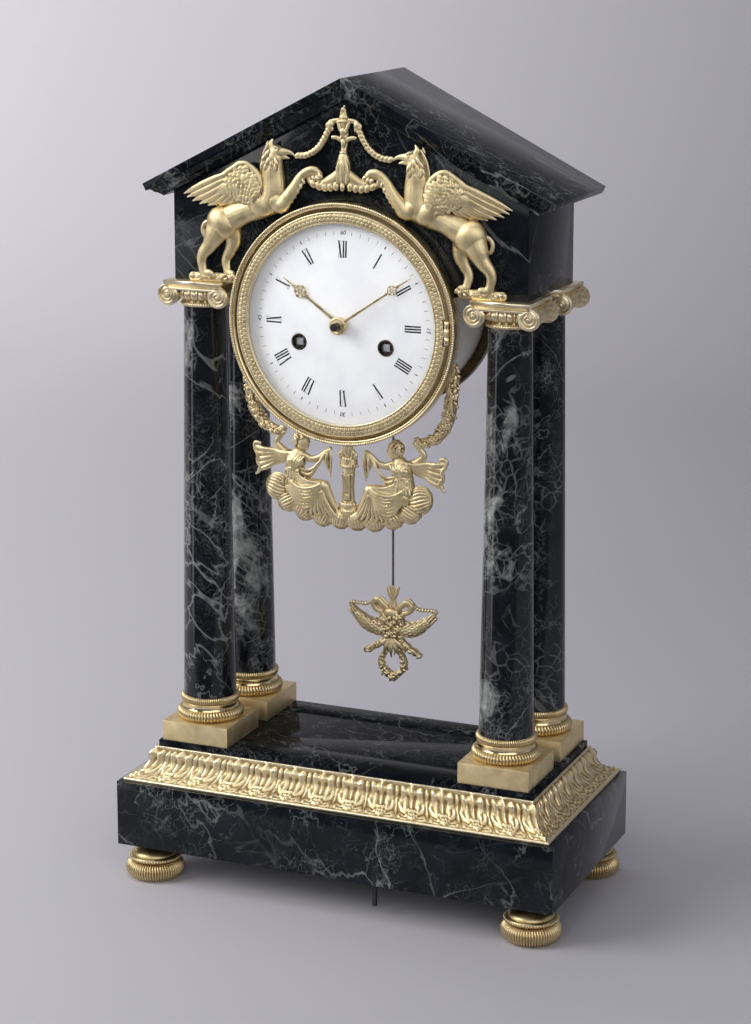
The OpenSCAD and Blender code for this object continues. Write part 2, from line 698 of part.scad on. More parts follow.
// Domed glass with a flat rim that sits in the hinged bezel
module dial_glass() {
    base_r = door_clear_r - 0.3;
    base_y = glass_seat_y + seat_gap;
    out_r = (pow(base_r, 2) + pow(glass_rise, 2)) / (2 * glass_rise);
    centre_y = base_y - glass_rise + out_r;
    in_r = out_r - glass_t;
    half_out = asin(base_r / out_r);
    half_in = acos((centre_y - base_y - glass_t) / in_r);
    color([0.85, 0.9, 0.92, 0.3]) at([0, 0]) turned_y(concat(
        arc(0, centre_y, out_r, -90, -90 + half_out, 12),
        [[glass_edge_r, base_y], [glass_edge_r, base_y + glass_t]],
        arc(0, centre_y, in_r, -90 + half_in, -90, 12)));
}

module dial() {
    big_r = (pow(dial_r, 2) + pow(dial_rise, 2)) / (2 * dial_rise);
    half = asin(dial_r / big_r);
    color(enamel) at([0, 0]) difference() {
        turned_y(concat(arc(0, dial_front_y + big_r, big_r, -90, -90 + half, 8),
            arc(0, dial_front_y + big_r + dial_t, big_r, -90 + half, -90, 8)));
        bar_y(hour_pipe_r + 0.7, dial_front_y - 1, dial_back_y + 1);
        for (p = [going_at, strike_at]) translate([p[0], 0, p[1]])
            bar_y(collet_r + run_fit, dial_front_y - 1, dial_back_y + 1);
    }
}

module winding_collets() {
    sink = pow(norm(going_at), 2) * dial_rise / pow(dial_r, 2);
    front = dial_front_y + sink - 0.5;
    color([0.05, 0.05, 0.06]) for (p = [going_at, strike_at]) at(p)
        turned_y([[collet_r - 1, front], [collet_r - 0.2, front], [collet_r, front + 0.3],
            [collet_r, front + dial_t + 0.7], [collet_r - 1, front + dial_t + 0.7]]);
}

module rear_ring() {
    color(bronze) at([0, 0]) union() {
        difference() {
            turned_y([[rear_clear_r, drum_end_y], [drum_r + seat_gap, drum_end_y], [drum_r + seat_gap, back_y],
                [rear_ring_r - 1, back_y], [rear_ring_r, back_y + 1], [rear_ring_r, ring_end_y - 3],
                [rear_ring_r - 1.5, ring_end_y], [rear_door_r + move_gap, ring_end_y],
                [rear_door_r + move_gap, rear_seat_y], [56, rear_seat_y], [56, drum_end_y + 2],
                [rear_clear_r, drum_end_y + 2]]);
            for (p = strap_at) translate([p[0], 0, p[1]]) bar_y(strap_r + run_fit, drum_end_y - 1, drum_end_y + 3);
        }
        outer_knuckles(rear_hinge_x, rear_hinge_y, ring_end_y - 0.5);
    }
}

strap_r = 1.5;
strap_head_r = 2.6;
rear_clear_r = strap_d - strap_head_r - 0.6;

module strap_screws() {
    color(steel) for (p = strap_at) at(p) {
        bar_y(strap_r, front_plate_y1, drum_end_y + 2);
        bar_y(strap_head_r, drum_end_y + 2, drum_end_y + 4);
    }
}

module rear_door() {
    y0 = ring_end_y - rear_door_t - 0.2;
    y1 = ring_end_y - 0.2;
    color(brass) at([0, 0]) difference() {
        union() {
            bar_y(rear_door_r, y0, y1);
            translate([-rear_door_r + 9, 0, 0]) bar_y(1.6, y1, y1 + 3);
            translate([-rear_door_r + 9, 0, 0]) bar_y(3, y1 + 3, y1 + 5.5);
            translate([rear_door_r - 10, y1 - 0.5, -knuckle_half]) cube([9, rear_hinge_y - y1 + 1, 2 * knuckle_half]);
            translate([rear_door_r - 10, rear_hinge_y - 1, -knuckle_half])
                cube([rear_hinge_x - rear_door_r + 10, 1.5, 2 * knuckle_half]);
            translate([rear_hinge_x, rear_hinge_y, -knuckle_half]) cylinder(r = knuckle_r, h = 2 * knuckle_half);
        }
        translate([rear_hinge_x, rear_hinge_y, -knuckle_half - 1])
            cylinder(r = hinge_pin_r + run_fit, h = 2 * knuckle_half + 2);
    }
}

module rear_hinge_pin() {
    color(steel) at([0, 0]) translate([rear_hinge_x, rear_hinge_y, -knuckle_end])
        cylinder(r = hinge_pin_r, h = 2 * knuckle_end);
}

// Hands and motion work

// Slim hand that points up: a boss, a tapering blade bent back by a tilt, and a pierced roundel
module hand(l, boss_r, bore, y0, y1, tilt, roundel_at, roundel_r) {
    difference() {
        union() {
            bar_y(boss_r, y0, y1);
            translate([0, y0 + 0.4, 0]) rotate([-tilt, 0, 0]) slab(0, hand_t) difference() {
                union() {
                    polygon([[-1.3, -boss_r * 0.8], [1.3, -boss_r * 0.8], [0.9, roundel_at], [0.25, l], [-0.25, l],
                        [-0.9, roundel_at]]);
                    translate([0, roundel_at]) circle(r = roundel_r);
                }
                translate([0, roundel_at]) circle(r = roundel_r * 0.55);
            }
        }
        bar_y(bore, y0 - 1, y1 + 1);
    }
}

module minute_hand() {
    color(gilt) at([0, 0]) rotate([0, minute_at, 0])
        hand(minute_l, 5.5, cannon_r + 0.02, minute_boss_y0, minute_boss_y1, minute_tilt, 42, 3.2);
}

module hour_hand() {
    color(gilt) at([0, 0]) rotate([0, hour_at, 0])
        hand(hour_l, 4.6, hour_pipe_r + 0.02, hour_boss_y0, hour_boss_y1, hour_tilt, 33.5, 4.7);
}

module hand_nut() {
    color(steel) at([0, 0]) difference() {
        bar_y(2.5, arbor_tip_y - 0.8, minute_boss_y0);
        bar_y(centre_front_r + run_fit, arbor_tip_y - move_gap, minute_boss_y0 + 1);
    }
}

cannon_y0 = front_plate_y0 - 2.2;
cannon_y1 = front_plate_y0 - 0.6;
hour_wheel_y0 = front_plate_y0 - 4.2;
hour_wheel_y1 = front_plate_y0 - 3;

module cannon_pinion() {
    color(brass) at([0, 0]) difference() {
        union() {
            bar_y(cannon_r, minute_boss_y0 + 0.1, cannon_y1);
            slab(cannon_y0, cannon_y1) pinion_2d(cannon_leaves, cannon_m, toward([0, 0], minute_wheel_at));
        }
        bar_y(centre_front_r + run_fit, arbor_tip_y, front_plate_y1);
    }
}

module hour_wheel() {
    color(brass) at([0, 0]) difference() {
        union() {
            bar_y(hour_pipe_r, hour_boss_y0 + 0.1, hour_wheel_y1);
            slab(hour_wheel_y0, hour_wheel_y1) wheel_2d(hour_teeth, hour_m, toward([0, 0], minute_wheel_at));
        }
        bar_y(cannon_r + run_fit, hour_boss_y0 - 1, hour_wheel_y1 + 1);
    }
}

module minute_wheel() {
    color(brass) at(minute_wheel_at) difference() {
        union() {
            slab(cannon_y0 + 0.2, cannon_y1 - 0.2)
                wheel_2d(minute_teeth, cannon_m, toward(minute_wheel_at, [0, 0]));
            slab(hour_wheel_y0 - 0.2, cannon_y0 + 0.2)
                pinion_2d(minute_leaves, hour_m, toward(minute_wheel_at, [0, 0]));
        }
        bar_y(stud_r + run_fit, hour_wheel_y0 - 1, front_plate_y0);
    }
}

// Movement plates

module plate_drilled(y0, y1) {
    difference() {
        children();
        for (h = plate_holes) translate([h[0][0], 0, h[0][1]]) bar_y(h[1] + run_fit, y0 - 1, y1 + 1);
    }
}

module front_plate() {
    color(brass) at([0, 0]) union() {
        plate_drilled(front_plate_y0, front_plate_y1) bar_y(drum_in_r - move_gap, front_plate_y0, front_plate_y1);
        for (p = foot_post_at) translate([p[0], 0, p[1]]) bar_y(1.6, face_y, front_plate_y0);
        translate([minute_wheel_at[0], 0, minute_wheel_at[1]])
            bar_y(stud_r, hour_wheel_y0 - 0.8, front_plate_y0);
    }
}

module back_plate() {
    color(brass) at([0, 0]) union() {
        plate_drilled(back_plate_y0, back_plate_y1) bar_y(plate_r, back_plate_y0, back_plate_y1);
        translate([hammer_at[0], 0, hammer_at[1]]) bar_y(stud_r + 0.5, back_plate_y1, back_plate_y1 + 5);
    }
}

module plate_pillars() {
    color(brass) for (p = pillar_at) at(p) bar_y(3, front_plate_y1, back_plate_y0);
}

// Going train

barrel_wheel_t = 1.4;
barrel_drum_r = 25.2;
barrel_wall = 1;
going_teeth_y = front_plate_y1 + 14;
barrel_end_y = back_plate_y0 - 2;
strike_drum_y = going_teeth_y;
strike_teeth_y = barrel_end_y - barrel_wheel_t;

// Spring barrel with its toothed flange at one end and its open end at the other
module barrel(dir, flange_y0, drum_y0, drum_y1, floor_y0) {
    difference() {
        union() {
            slab(flange_y0, flange_y0 + barrel_wheel_t) wheel_2d(barrel_teeth, barrel_m, dir);
            bar_y(barrel_drum_r, drum_y0, drum_y1);
        }
        turned_y([[winding_r + 2, floor_y0 + barrel_wheel_t], [barrel_drum_r - barrel_wall, floor_y0 + barrel_wheel_t],
            [barrel_drum_r - barrel_wall, drum_y1 + 1], [winding_r + 2, drum_y1 + 1]]);
        bar_y(winding_r + run_fit, drum_y0 - 1, drum_y1 + 1);
    }
}

module going_barrel() {
    color(brass) at(going_at)
        barrel(toward(going_at, [0, 0]), going_teeth_y, going_teeth_y, barrel_end_y, going_teeth_y);
}

module strike_barrel() {
    color(brass) at(strike_at)
        barrel(toward(strike_at, pin_at), strike_teeth_y, strike_drum_y, barrel_end_y, strike_drum_y);
}

module mainspring() {
    turned_y([[12, going_teeth_y + barrel_wheel_t + move_gap],
        [barrel_drum_r - barrel_wall - seat_gap, going_teeth_y + barrel_wheel_t + move_gap],
        [barrel_drum_r - barrel_wall - seat_gap, barrel_end_y - 0.5], [12, barrel_end_y - 0.5]]);
}

module going_mainspring() { color(steel) at(going_at) mainspring(); }
module strike_mainspring() { color(steel) at(strike_at) mainspring(); }

// Winding arbor: a round shaft with a ratchet wheel and a key square that reaches the dial
module winding_arbor() {
    side = winding_r * sqrt(2) - 0.1;
    ratchet_y = front_plate_y0 - 2;
    bar_y(winding_r, front_plate_y0 - move_gap, back_plate_y1);
    slab(ratchet_y, ratchet_y + 1.4) polygon(teeth(24, 7.4, 8.4, 0.9, 0.15));
    translate([-side / 2, dial_front_y + 2.2, -side / 2])
        cube([side, front_plate_y0 - dial_front_y - 2.2, side]);
}

module going_arbor() { color(steel) at(going_at) winding_arbor(); }
module strike_arbor() { color(steel) at(strike_at) winding_arbor(); }

module centre_wheel() {
    color(brass) at([0, 0]) union() {
        bar_y(centre_r, front_plate_y0, back_plate_y1);
        bar_y(centre_front_r, arbor_tip_y, front_plate_y0);
        slab(going_teeth_y - 1, going_teeth_y + barrel_wheel_t + 1)
            pinion_2d(centre_leaves, barrel_m, toward([0, 0], going_at));
        slab(front_plate_y1 + 8.8, front_plate_y1 + 10) wheel_2d(centre_teeth, centre_m, toward([0, 0], third_at));
    }
}

module third_wheel() {
    color(brass) at(third_at) union() {
        bar_y(third_r, front_plate_y0, back_plate_y1);
        slab(front_plate_y1 + 7.4, front_plate_y1 + 11.2)
            pinion_2d(third_leaves, centre_m, toward(third_at, [0, 0]));
        slab(front_plate_y1 + 4.4, front_plate_y1 + 5.4)
            wheel_2d(third_teeth, third_m, toward(third_at, escape_at));
    }
}

escape_y0 = front_plate_y1 + 20;
escape_y1 = escape_y0 + 1;

module escape_wheel() {
    color(brass) at(escape_at) union() {
        bar_y(escape_arbor_r, front_plate_y0, back_plate_y1);
        slab(front_plate_y1 + 3.8, front_plate_y1 + 6)
            pinion_2d(escape_leaves, third_m, toward(escape_at, third_at));
        slab(escape_y0, escape_y1) polygon(teeth(escape_teeth, escape_r - 2.2, escape_r, 0.5, 0.12));
    }
}

crutch_y = pendulum_y - 5.4;
crutch_t = 1.2;
crutch_l = 30;

module pallets() {
    color(steel) at(pallet_at) union() {
        bar_y(pallet_r, front_plate_y0, crutch_y + crutch_t);
        slab(escape_y0 - 1, escape_y1 + 1) union() {
            circle(r = 3);
            for (side = [0, 1]) mirror([side, 0])
                polygon([[0, 2], [9, -2.5], [11.5, -7.4], [9.3, -6.6], [7.5, -4.4], [0, -2]]);
        }
        slab(crutch_y, crutch_y + crutch_t) translate([-1.5, -crutch_l]) square([3, crutch_l]);
        for (s = [-1, 1]) translate([s * (rod_r + 1.1) - 0.6, crutch_y, -crutch_l - 2])
            cube([1.2, pendulum_y - crutch_y + 2.6, 4]);
        slab(crutch_y, crutch_y + crutch_t) translate([-rod_r - 1.7, -crutch_l - 2]) square([2 * rod_r + 3.4, 4]);
    }
}

// Striking train

module pin_wheel() {
    y0 = front_plate_y1 + 6;
    color(brass) at(pin_at) union() {
        bar_y(pin_r, front_plate_y0, back_plate_y1 + 2.4);
        slab(strike_teeth_y - 1, strike_teeth_y + barrel_wheel_t + 1)
            pinion_2d(pin_leaves, barrel_m, toward(pin_at, strike_at));
        slab(y0, y0 + 1.2) wheel_2d(pin_teeth, pin_m, toward(pin_at, fly_at));
        for (i = [0:7]) rotate([0, 45 * i, 0]) translate([9.5, 0, 0]) bar_y(0.6, y0 - 3.5, y0 + 0.5);
    }
}

count_r = 15;

// Locking plate with notches at growing distances, one for each hour that is struck
module count_wheel() {
    steps = [for (i = [0:11]) (i + 1) * (i + 2) / 2];
    color(brass) at(pin_at) difference() {
        slab(back_plate_y1 + 0.8, back_plate_y1 + 1.8) difference() {
            circle(r = count_r);
            for (s = steps) rotate(360 * s / 78) translate([count_r - 1.6, -0.6]) square([3, 1.2]);
        }
        bar_y(pin_r + 0.02, back_plate_y1, back_plate_y1 + 3);
    }
}

module fly() {
    color(brass) at(fly_at) union() {
        bar_y(fly_r, front_plate_y0, back_plate_y1);
        slab(front_plate_y1 + 5, front_plate_y1 + 8.2) pinion_2d(fly_leaves, pin_m, toward(fly_at, pin_at));
        translate([-5, front_plate_y1 + 16, -0.4]) cube([10, 12, 0.8]);
    }
}

module hammer() {
    reach = hammer_head - hammer_at;
    hub_y0 = back_plate_y1 + move_gap;
    hub_y1 = hub_y0 + 2.4;
    color(steel) at(hammer_at) difference() {
        union() {
            bar_y(3.5, hub_y0, hub_y1);
            rotate([0, 90 - toward([0, 0], reach), 0]) translate([-1.2, hub_y0, 2])
                cube([2.4, hub_y1 - hub_y0, norm(reach) - 2]);
            translate([reach[0], 0, reach[1]]) bar_y(3, hub_y0, hub_y0 + 12);
        }
        bar_y(stud_r + 0.5 + run_fit, hub_y0 - 1, hub_y1 + 1);
    }
}

bell_rim_y = back_plate_y1 + 5;
bell_top_y = bell_rim_y + 21;
bell_wall = 1.6;
bell_post_r = 2;

module bell() {
    color(brass) at(bell_at) turned_y([[bell_r, bell_rim_y], [bell_r, bell_rim_y + 12], [bell_r - 5, bell_rim_y + 17],
        [bell_r - 15, bell_top_y], [bell_post_r + run_fit, bell_top_y],
        [bell_post_r + run_fit, bell_top_y - bell_wall], [bell_r - 15.6, bell_top_y - bell_wall],
        [bell_r - 6.4, bell_rim_y + 16], [bell_r - bell_wall, bell_rim_y + 11.6], [bell_r - bell_wall, bell_rim_y]]);
}

module bell_stand() {
    color(steel) at(bell_at) union() {
        bar_y(3.5, back_plate_y1, bell_top_y - bell_wall);
        bar_y(bell_post_r, bell_top_y - bell_wall - 1, bell_top_y + 3);
        translate([0, bell_top_y + 3, 0]) rotate([90, 0, 0]) cylinder(r = 4, h = 3, $fn = 6);
    }
}

// Bracket behind the back plate: it steadies the pallet arbor and carries the pin that the pendulum hangs on
module suspension_cock() {
    wall_y = crutch_y - 2.6;
    pin_end_y = pendulum_y + 3.6;
    color(brass) at(pallet_at) difference() {
        union() {
            for (s = [-1, 1]) translate([s * 7 - 1.5, back_plate_y1, 1]) cube([3, wall_y - back_plate_y1 + 2, 5]);
            translate([-8.5, wall_y, -3]) cube([17, 2, 9]);
            translate([-3, wall_y, 3.5]) cube([6, pin_end_y - wall_y, 2.5]);
            translate([-3, pin_end_y - 1.8, -2]) cube([6, 1.8, 8]);
            bar_y(stud_r, pendulum_y - 2, pin_end_y - 1);
        }
        bar_y(pallet_r + run_fit, wall_y - 1, wall_y + 2.5);
    }
}

hook_r = 2.6;

module pendulum_rod() {
    color(steel) at(pallet_at) union() {
        difference() {
            bar_y(hook_r, pendulum_y - rod_r, pendulum_y + rod_r);
            bar_y(stud_r + run_fit, pendulum_y - 3, pendulum_y + 3);
        }
        translate([0, pendulum_y, -pendulum_l + bob_top]) cylinder(r = rod_r, h = pendulum_l - bob_top - 2);
    }
}

bob_depth = 0.6;

// Cast bouquet: two horns, flowers, trailing sprays and a small wreath below
module pendulum_bob() {
    color(gilt) translate([0, pendulum_y, bob_z]) {
        scale([1, bob_depth, 1]) {
            limb([[0, 0, 24, 3], [0, 0, 17, 5], [0, 0, 8, 7.5], [0, 0, 0, 7], [0, 0, -8, 5], [0, 0, -16, 2.4]]);
            for (side = [0, 1]) mirror([side, 0, 0]) {
                limb([[0, 0, 13, 4], [10, 0, 21.5, 4]]);
                limb([[6, 0, 1, 5], [18.4, 0, 3, 5.6], [26, 0, 9, 3.8], [31, 0, 15.4, 1.6]]);
                limb([[29.5, 0, 14.5, 1.4], [26, 0, 18.2, 1.4], [18, 0, 16.6, 1.7], [11, 0, 18.5, 2]]);
                limb([[5, 0, -5, 4], [13, 0, -11, 3], [20, 0, -15, 2.6]]);
                limb([[3, 0, -12, 2.4], [8.6, 0, -18, 2.2], [8, 0, -25, 2.4], [0, 0, -30, 5.4]]);
            }
        }
        translate([0, 0, 20]) cylinder(r = 1.7, h = bob_top - 20, $fn = 12);
    }
}

base_block();
base_platform();
leaf_frieze();
feet();
foot_studs();
plinths();
column_bases();
column_front_left();
column_front_right();
column_rear_left();
column_rear_right();
capitals();
tie_rods();
pediment_block();
roof_left();
roof_right();
griffin_left();
griffin_right();
pediment_ornament();
figure_group();
garlands();
drum_case();
bezel_ring();
bezel_door();
dial_glass();
bezel_hinge_pin();
dial();
winding_collets();
rear_ring();
rear_door();
rear_hinge_pin();
strap_screws();
minute_hand();
hour_hand();
hand_nut();
cannon_pinion();
hour_wheel();
minute_wheel();
front_plate();
back_plate();
plate_pillars();
going_barrel();
going_arbor();
going_mainspring();
centre_wheel();
third_wheel();
escape_wheel();
pallets();
strike_barrel();
strike_arbor();
strike_mainspring();
pin_wheel();
count_wheel();
fly();
hammer();
bell();
bell_stand();
suspension_cock();
pendulum_rod();
pendulum_bob();
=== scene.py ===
# Looks of the portico clock. Sizes are millimetres until a mesh is made, which is in metres.
import math
import random

import bpy
import numpy as np
from mathutils import Matrix, Vector


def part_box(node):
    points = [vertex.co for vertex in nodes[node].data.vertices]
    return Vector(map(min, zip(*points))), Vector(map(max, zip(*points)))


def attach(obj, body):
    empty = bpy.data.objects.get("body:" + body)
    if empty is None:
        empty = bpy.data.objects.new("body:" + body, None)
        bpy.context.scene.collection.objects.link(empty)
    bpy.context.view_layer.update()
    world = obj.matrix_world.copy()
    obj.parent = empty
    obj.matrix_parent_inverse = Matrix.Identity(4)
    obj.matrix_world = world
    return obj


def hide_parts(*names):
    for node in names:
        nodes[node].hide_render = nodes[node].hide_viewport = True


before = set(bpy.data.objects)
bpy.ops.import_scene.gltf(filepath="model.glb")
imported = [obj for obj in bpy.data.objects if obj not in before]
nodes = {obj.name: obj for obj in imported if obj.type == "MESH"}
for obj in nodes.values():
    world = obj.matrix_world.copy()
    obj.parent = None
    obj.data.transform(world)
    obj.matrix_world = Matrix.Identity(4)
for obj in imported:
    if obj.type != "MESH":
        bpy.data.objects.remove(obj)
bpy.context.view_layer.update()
bpy.ops.object.select_all(action="DESELECT")

# Camera
# A long lens a little above and to the right of the clock, tipped down. The shift keeps the
# columns as upright as the view camera of the photograph kept them.
bpy.ops.object.camera_add(
    location=(0.61609, -1.44044, 0.6416),
    rotation=(math.radians(90 - 11.65), 0, math.radians(23.1)),
)
camera = bpy.context.object
camera.data.sensor_width = 36
camera.data.lens = 88.57
camera.data.shift_y = -0.1094
bpy.context.scene.camera = camera

# Paper sweep and light
# The clock stands on a roll of pale grey paper that curves up behind it. A large soft lamp on the left
# gives the light, with weak ones above, in front and on the right, one for the paper and a narrow one that
# stands low on the left and shows as a streak in the polished marble.
bpy.ops.mesh.primitive_plane_add(size=1, location=(0, 0.54, 0))
sweep = bpy.context.object
sweep.name = "paper_sweep"
sweep.scale = (7, 1.92, 1)
bpy.ops.object.transform_apply(location=True, rotation=True, scale=True)
bpy.ops.object.mode_set(mode="EDIT")
bpy.ops.mesh.select_mode(type="EDGE")
bpy.ops.mesh.select_all(action="DESELECT")
bpy.ops.object.mode_set(mode="OBJECT")
for edge in sweep.data.edges:
    edge.select = all(sweep.data.vertices[i].co.y > 1 for i in edge.vertices)
bpy.ops.object.mode_set(mode="EDIT")
for step in range(10):
    angle = math.radians(9 * step + 4.5)
    bpy.ops.mesh.extrude_region_move(
        TRANSFORM_OT_translate={"value": (0, 0.14 * math.cos(angle), 0.14 * math.sin(angle))}
    )
bpy.ops.mesh.extrude_region_move(TRANSFORM_OT_translate={"value": (0, 0, 3)})
bpy.ops.object.mode_set(mode="OBJECT")
bpy.ops.object.shade_smooth()


def principled(name):
    """New material with its Principled shader; returns the material, its node tree and the shader."""
    material = bpy.data.materials.new(name)
    material.use_nodes = True
    tree = material.node_tree
    return material, tree, tree.nodes["Principled BSDF"]


def add(tree, kind, **values):
    """New node with its settings and input values."""
    node = tree.nodes.new(kind)
    for key, value in values.items():
        if key in node.inputs:
            node.inputs[key].default_value = value
        else:
            setattr(node, key, value)
    return node


paper, tree, shader = principled("grey_paper")
fibre = add(tree, "ShaderNodeTexNoise", Scale=900.0, Detail=4.0)
where = add(tree, "ShaderNodeTexCoord")
# The paper's colour is painted paler at the left and darker at the right, a painted falloff of light across
# the sweep.
tone = add(tree, "ShaderNodeValToRGB")
tone.color_ramp.elements[0].color = (0.95, 0.93, 0.99, 1)
tone.color_ramp.elements[1].color = (0.51, 0.50, 0.55, 1)
apart = add(tree, "ShaderNodeSeparateXYZ")
shade = add(tree, "ShaderNodeMapRange")
for label, value in (("From Min", -1.1), ("From Max", 0.2)):
    shade.inputs[label].default_value = value
spread = add(tree, "ShaderNodeMath", operation="MULTIPLY_ADD")
spread.inputs[1].default_value = 0.06
tree.links.new(where.outputs["Object"], fibre.inputs["Vector"])
tree.links.new(where.outputs["Object"], apart.inputs["Vector"])
tree.links.new(apart.outputs["X"], shade.inputs["Value"])
tree.links.new(fibre.outputs["Fac"], spread.inputs[0])
tree.links.new(shade.outputs["Result"], spread.inputs[2])
tree.links.new(spread.outputs[0], tone.inputs["Fac"])
tree.links.new(tone.outputs["Color"], shader.inputs["Base Color"])
shader.inputs["Roughness"].default_value = 0.9
shader.inputs["Specular IOR Level"].default_value = 0.1
sweep.data.materials.append(paper)

world = bpy.data.worlds.new("room")
bpy.context.scene.world = world
world.use_nodes = True
air = world.node_tree.nodes["Background"]
air.inputs["Color"].default_value = (0.75, 0.74, 0.8, 1)
looking = add(world.node_tree, "ShaderNodeTexCoord")
apart = add(world.node_tree, "ShaderNodeSeparateXYZ")
depth = add(world.node_tree, "ShaderNodeMapRange")
for label, value in (("From Min", -0.7), ("From Max", 0.5), ("To Min", 0.12), ("To Max", 0.5)):
    depth.inputs[label].default_value = value
world.node_tree.links.new(looking.outputs["Generated"], apart.inputs["Vector"])
world.node_tree.links.new(apart.outputs["Y"], depth.inputs["Value"])
world.node_tree.links.new(depth.outputs["Result"], air.inputs["Strength"])
bpy.context.scene.view_settings.view_transform = "Standard"


def soft_lamp(name, place, aim, size, power):
    """A square area lamp that looks at a point."""
    bpy.ops.object.light_add(type="AREA", location=place)
    lamp = bpy.context.object
    lamp.name = name
    lamp.data.size = size
    lamp.data.energy = power
    lamp.rotation_euler = (Vector(aim) - lamp.location).to_track_quat("-Z", "Y").to_euler()
    return lamp


CLOCK_MIDDLE = (0, 0, 0.3)
key_lamp = soft_lamp("key_lamp", (-1.7, -1.25, 1.55), CLOCK_MIDDLE, 1.5, 33)
key_lamp.data.color = (1.0, 0.985, 0.95)
soft_lamp("fill_lamp", (1.5, -1.6, 1.0), CLOCK_MIDDLE, 1.4, 9)
top_lamp = soft_lamp("top_lamp", (-0.3, -0.2, 1.9), CLOCK_MIDDLE, 1.0, 6)
top_lamp.rotation_euler = (0, 0, 0)
soft_lamp("paper_lamp", (-2.3, 1.4, 0.9), (-1.6, 2.3, 0.4), 0.8, 5.5)
soft_lamp("front_lamp", (0.35, -2.2, 1.35), CLOCK_MIDDLE, 1.3, 9)
strip_lamp = soft_lamp("strip_lamp", (-1.3, -1.0, -0.1), (0, 0, 0.1), 0.3, 1.5)
strip_lamp.data.shape = "RECTANGLE"
strip_lamp.data.size_y = 1.0
strip_lamp.data.color = (0.9, 0.93, 1.0)

# Base and platform
# Two sawn and polished blocks of near-black marble, shot through with fine pale veins. Their edges
# are eased, and they lie on each other under the weight of the columns.
MM = 0.001


def only(piece):
    """Makes one piece the selected and active one."""
    if bpy.context.object and bpy.context.object.mode != "OBJECT":
        bpy.ops.object.mode_set(mode="OBJECT")
    bpy.ops.object.select_all(action="DESELECT")
    piece.select_set(True)
    bpy.context.view_layer.objects.active = piece


def apply_modifier(piece, kind, **values):
    """Adds a modifier with its settings and applies it."""
    only(piece)
    modifier = piece.modifiers.new(kind.lower(), kind)
    for key, value in values.items():
        setattr(modifier, key, value)
    bpy.ops.object.modifier_apply(modifier=modifier.name)


def eased_copy(node, width, name):
    """A copy of a solid with its sharp edges eased, which stands for the solid."""
    piece = nodes[node].copy()
    piece.data = nodes[node].data.copy()
    piece.name = name
    piece.parent = None
    bpy.context.collection.objects.link(piece)
    piece.matrix_world = Matrix.Identity(4)
    only(piece)
    if piece.data.has_custom_normals:
        bpy.ops.mesh.customdata_custom_splitnormals_clear()
    bpy.ops.object.mode_set(mode="EDIT")
    bpy.ops.mesh.select_all(action="SELECT")
    bpy.ops.mesh.remove_doubles(threshold=0.00001)
    bpy.ops.mesh.dissolve_limited(angle_limit=math.radians(1))
    bpy.ops.object.mode_set(mode="OBJECT")
    if width:
        apply_modifier(
            piece,
            "BEVEL",
            width=width * MM,
            segments=2,
            limit_method="ANGLE",
            angle_limit=math.radians(40),
        )
    only(piece)
    bpy.ops.object.shade_smooth_by_angle(angle=math.radians(35))
    piece.data.materials.clear()
    return piece


def dress(piece, material, body="case", replaced=()):
    """Gives a piece its finish, its body and the solids that it stands for."""
    piece.data.materials.clear()
    piece.data.materials.append(material)
    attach(piece, body)
    if replaced:
        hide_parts(*replaced)


veins = bpy.data.node_groups.new("marble_veins", "ShaderNodeTree")
for label, kind, value in (
    ("Vector", "NodeSocketVector", None),
    ("Vein Strength", "NodeSocketFloat", 0.5),
    ("Cloud Strength", "NodeSocketFloat", 0.3),
):
    socket = veins.interface.new_socket(label, in_out="INPUT", socket_type=kind)
    if value is not None:
        socket.default_value = value
veins.interface.new_socket("Color", in_out="OUTPUT", socket_type="NodeSocketColor")
veins.interface.new_socket("Roughness", in_out="OUTPUT", socket_type="NodeSocketFloat")
stone_in = veins.nodes.new("NodeGroupInput")
stone_out = veins.nodes.new("NodeGroupOutput")


def remap(tree, source, low, high, to_low=0.0, to_high=1.0):
    """Value moved smoothly from one range to another, and held at its ends."""
    node = add(tree, "ShaderNodeMapRange", interpolation_type="SMOOTHSTEP")
    ends = (("From Min", low), ("From Max", high), ("To Min", to_low), ("To Max", to_high))
    for label, value in ends:
        if isinstance(value, bpy.types.NodeSocket):
            tree.links.new(value, node.inputs[label])
        else:
            node.inputs[label].default_value = value
    tree.links.new(source, node.inputs["Value"])
    return node.outputs["Result"]


def calc(tree, operation, a, b):
    """One arithmetic step on two sockets or numbers."""
    node = add(tree, "ShaderNodeMath", operation=operation)
    for place, value in ((0, a), (1, b)):
        if isinstance(value, (int, float)):
            node.inputs[place].default_value = value
        else:
            tree.links.new(value, node.inputs[place])
    return node.outputs[0]


def noise(tree, vector, scale, detail, rough=0.55):
    """Noise value at a scale in features per metre."""
    node = add(tree, "ShaderNodeTexNoise", Scale=scale, Detail=detail, Roughness=rough)
    tree.links.new(vector, node.inputs["Vector"])
    return node.outputs["Fac"]


def mixed(tree, factor, a, b, blend="MIX"):
    """Two colours mixed by a factor; each is a socket or a colour."""
    node = add(tree, "ShaderNodeMix", data_type="RGBA", blend_type=blend)
    for label, value in (("Factor_Float", factor), ("A_Color", a), ("B_Color", b)):
        socket = next(s for s in node.inputs if s.identifier == label)
        if isinstance(value, bpy.types.NodeSocket):
            tree.links.new(value, socket)
        else:
            socket.default_value = value
    return next(s for s in node.outputs if s.identifier == "Result_Color")


def stretched(tree, vector, turn, stretch):
    """Coordinates turned, then drawn out, so that what is noise becomes streaks."""
    node = add(tree, "ShaderNodeMapping", vector_type="TEXTURE", Rotation=turn, Scale=stretch)
    tree.links.new(vector, node.inputs["Vector"])
    return node.outputs["Vector"]


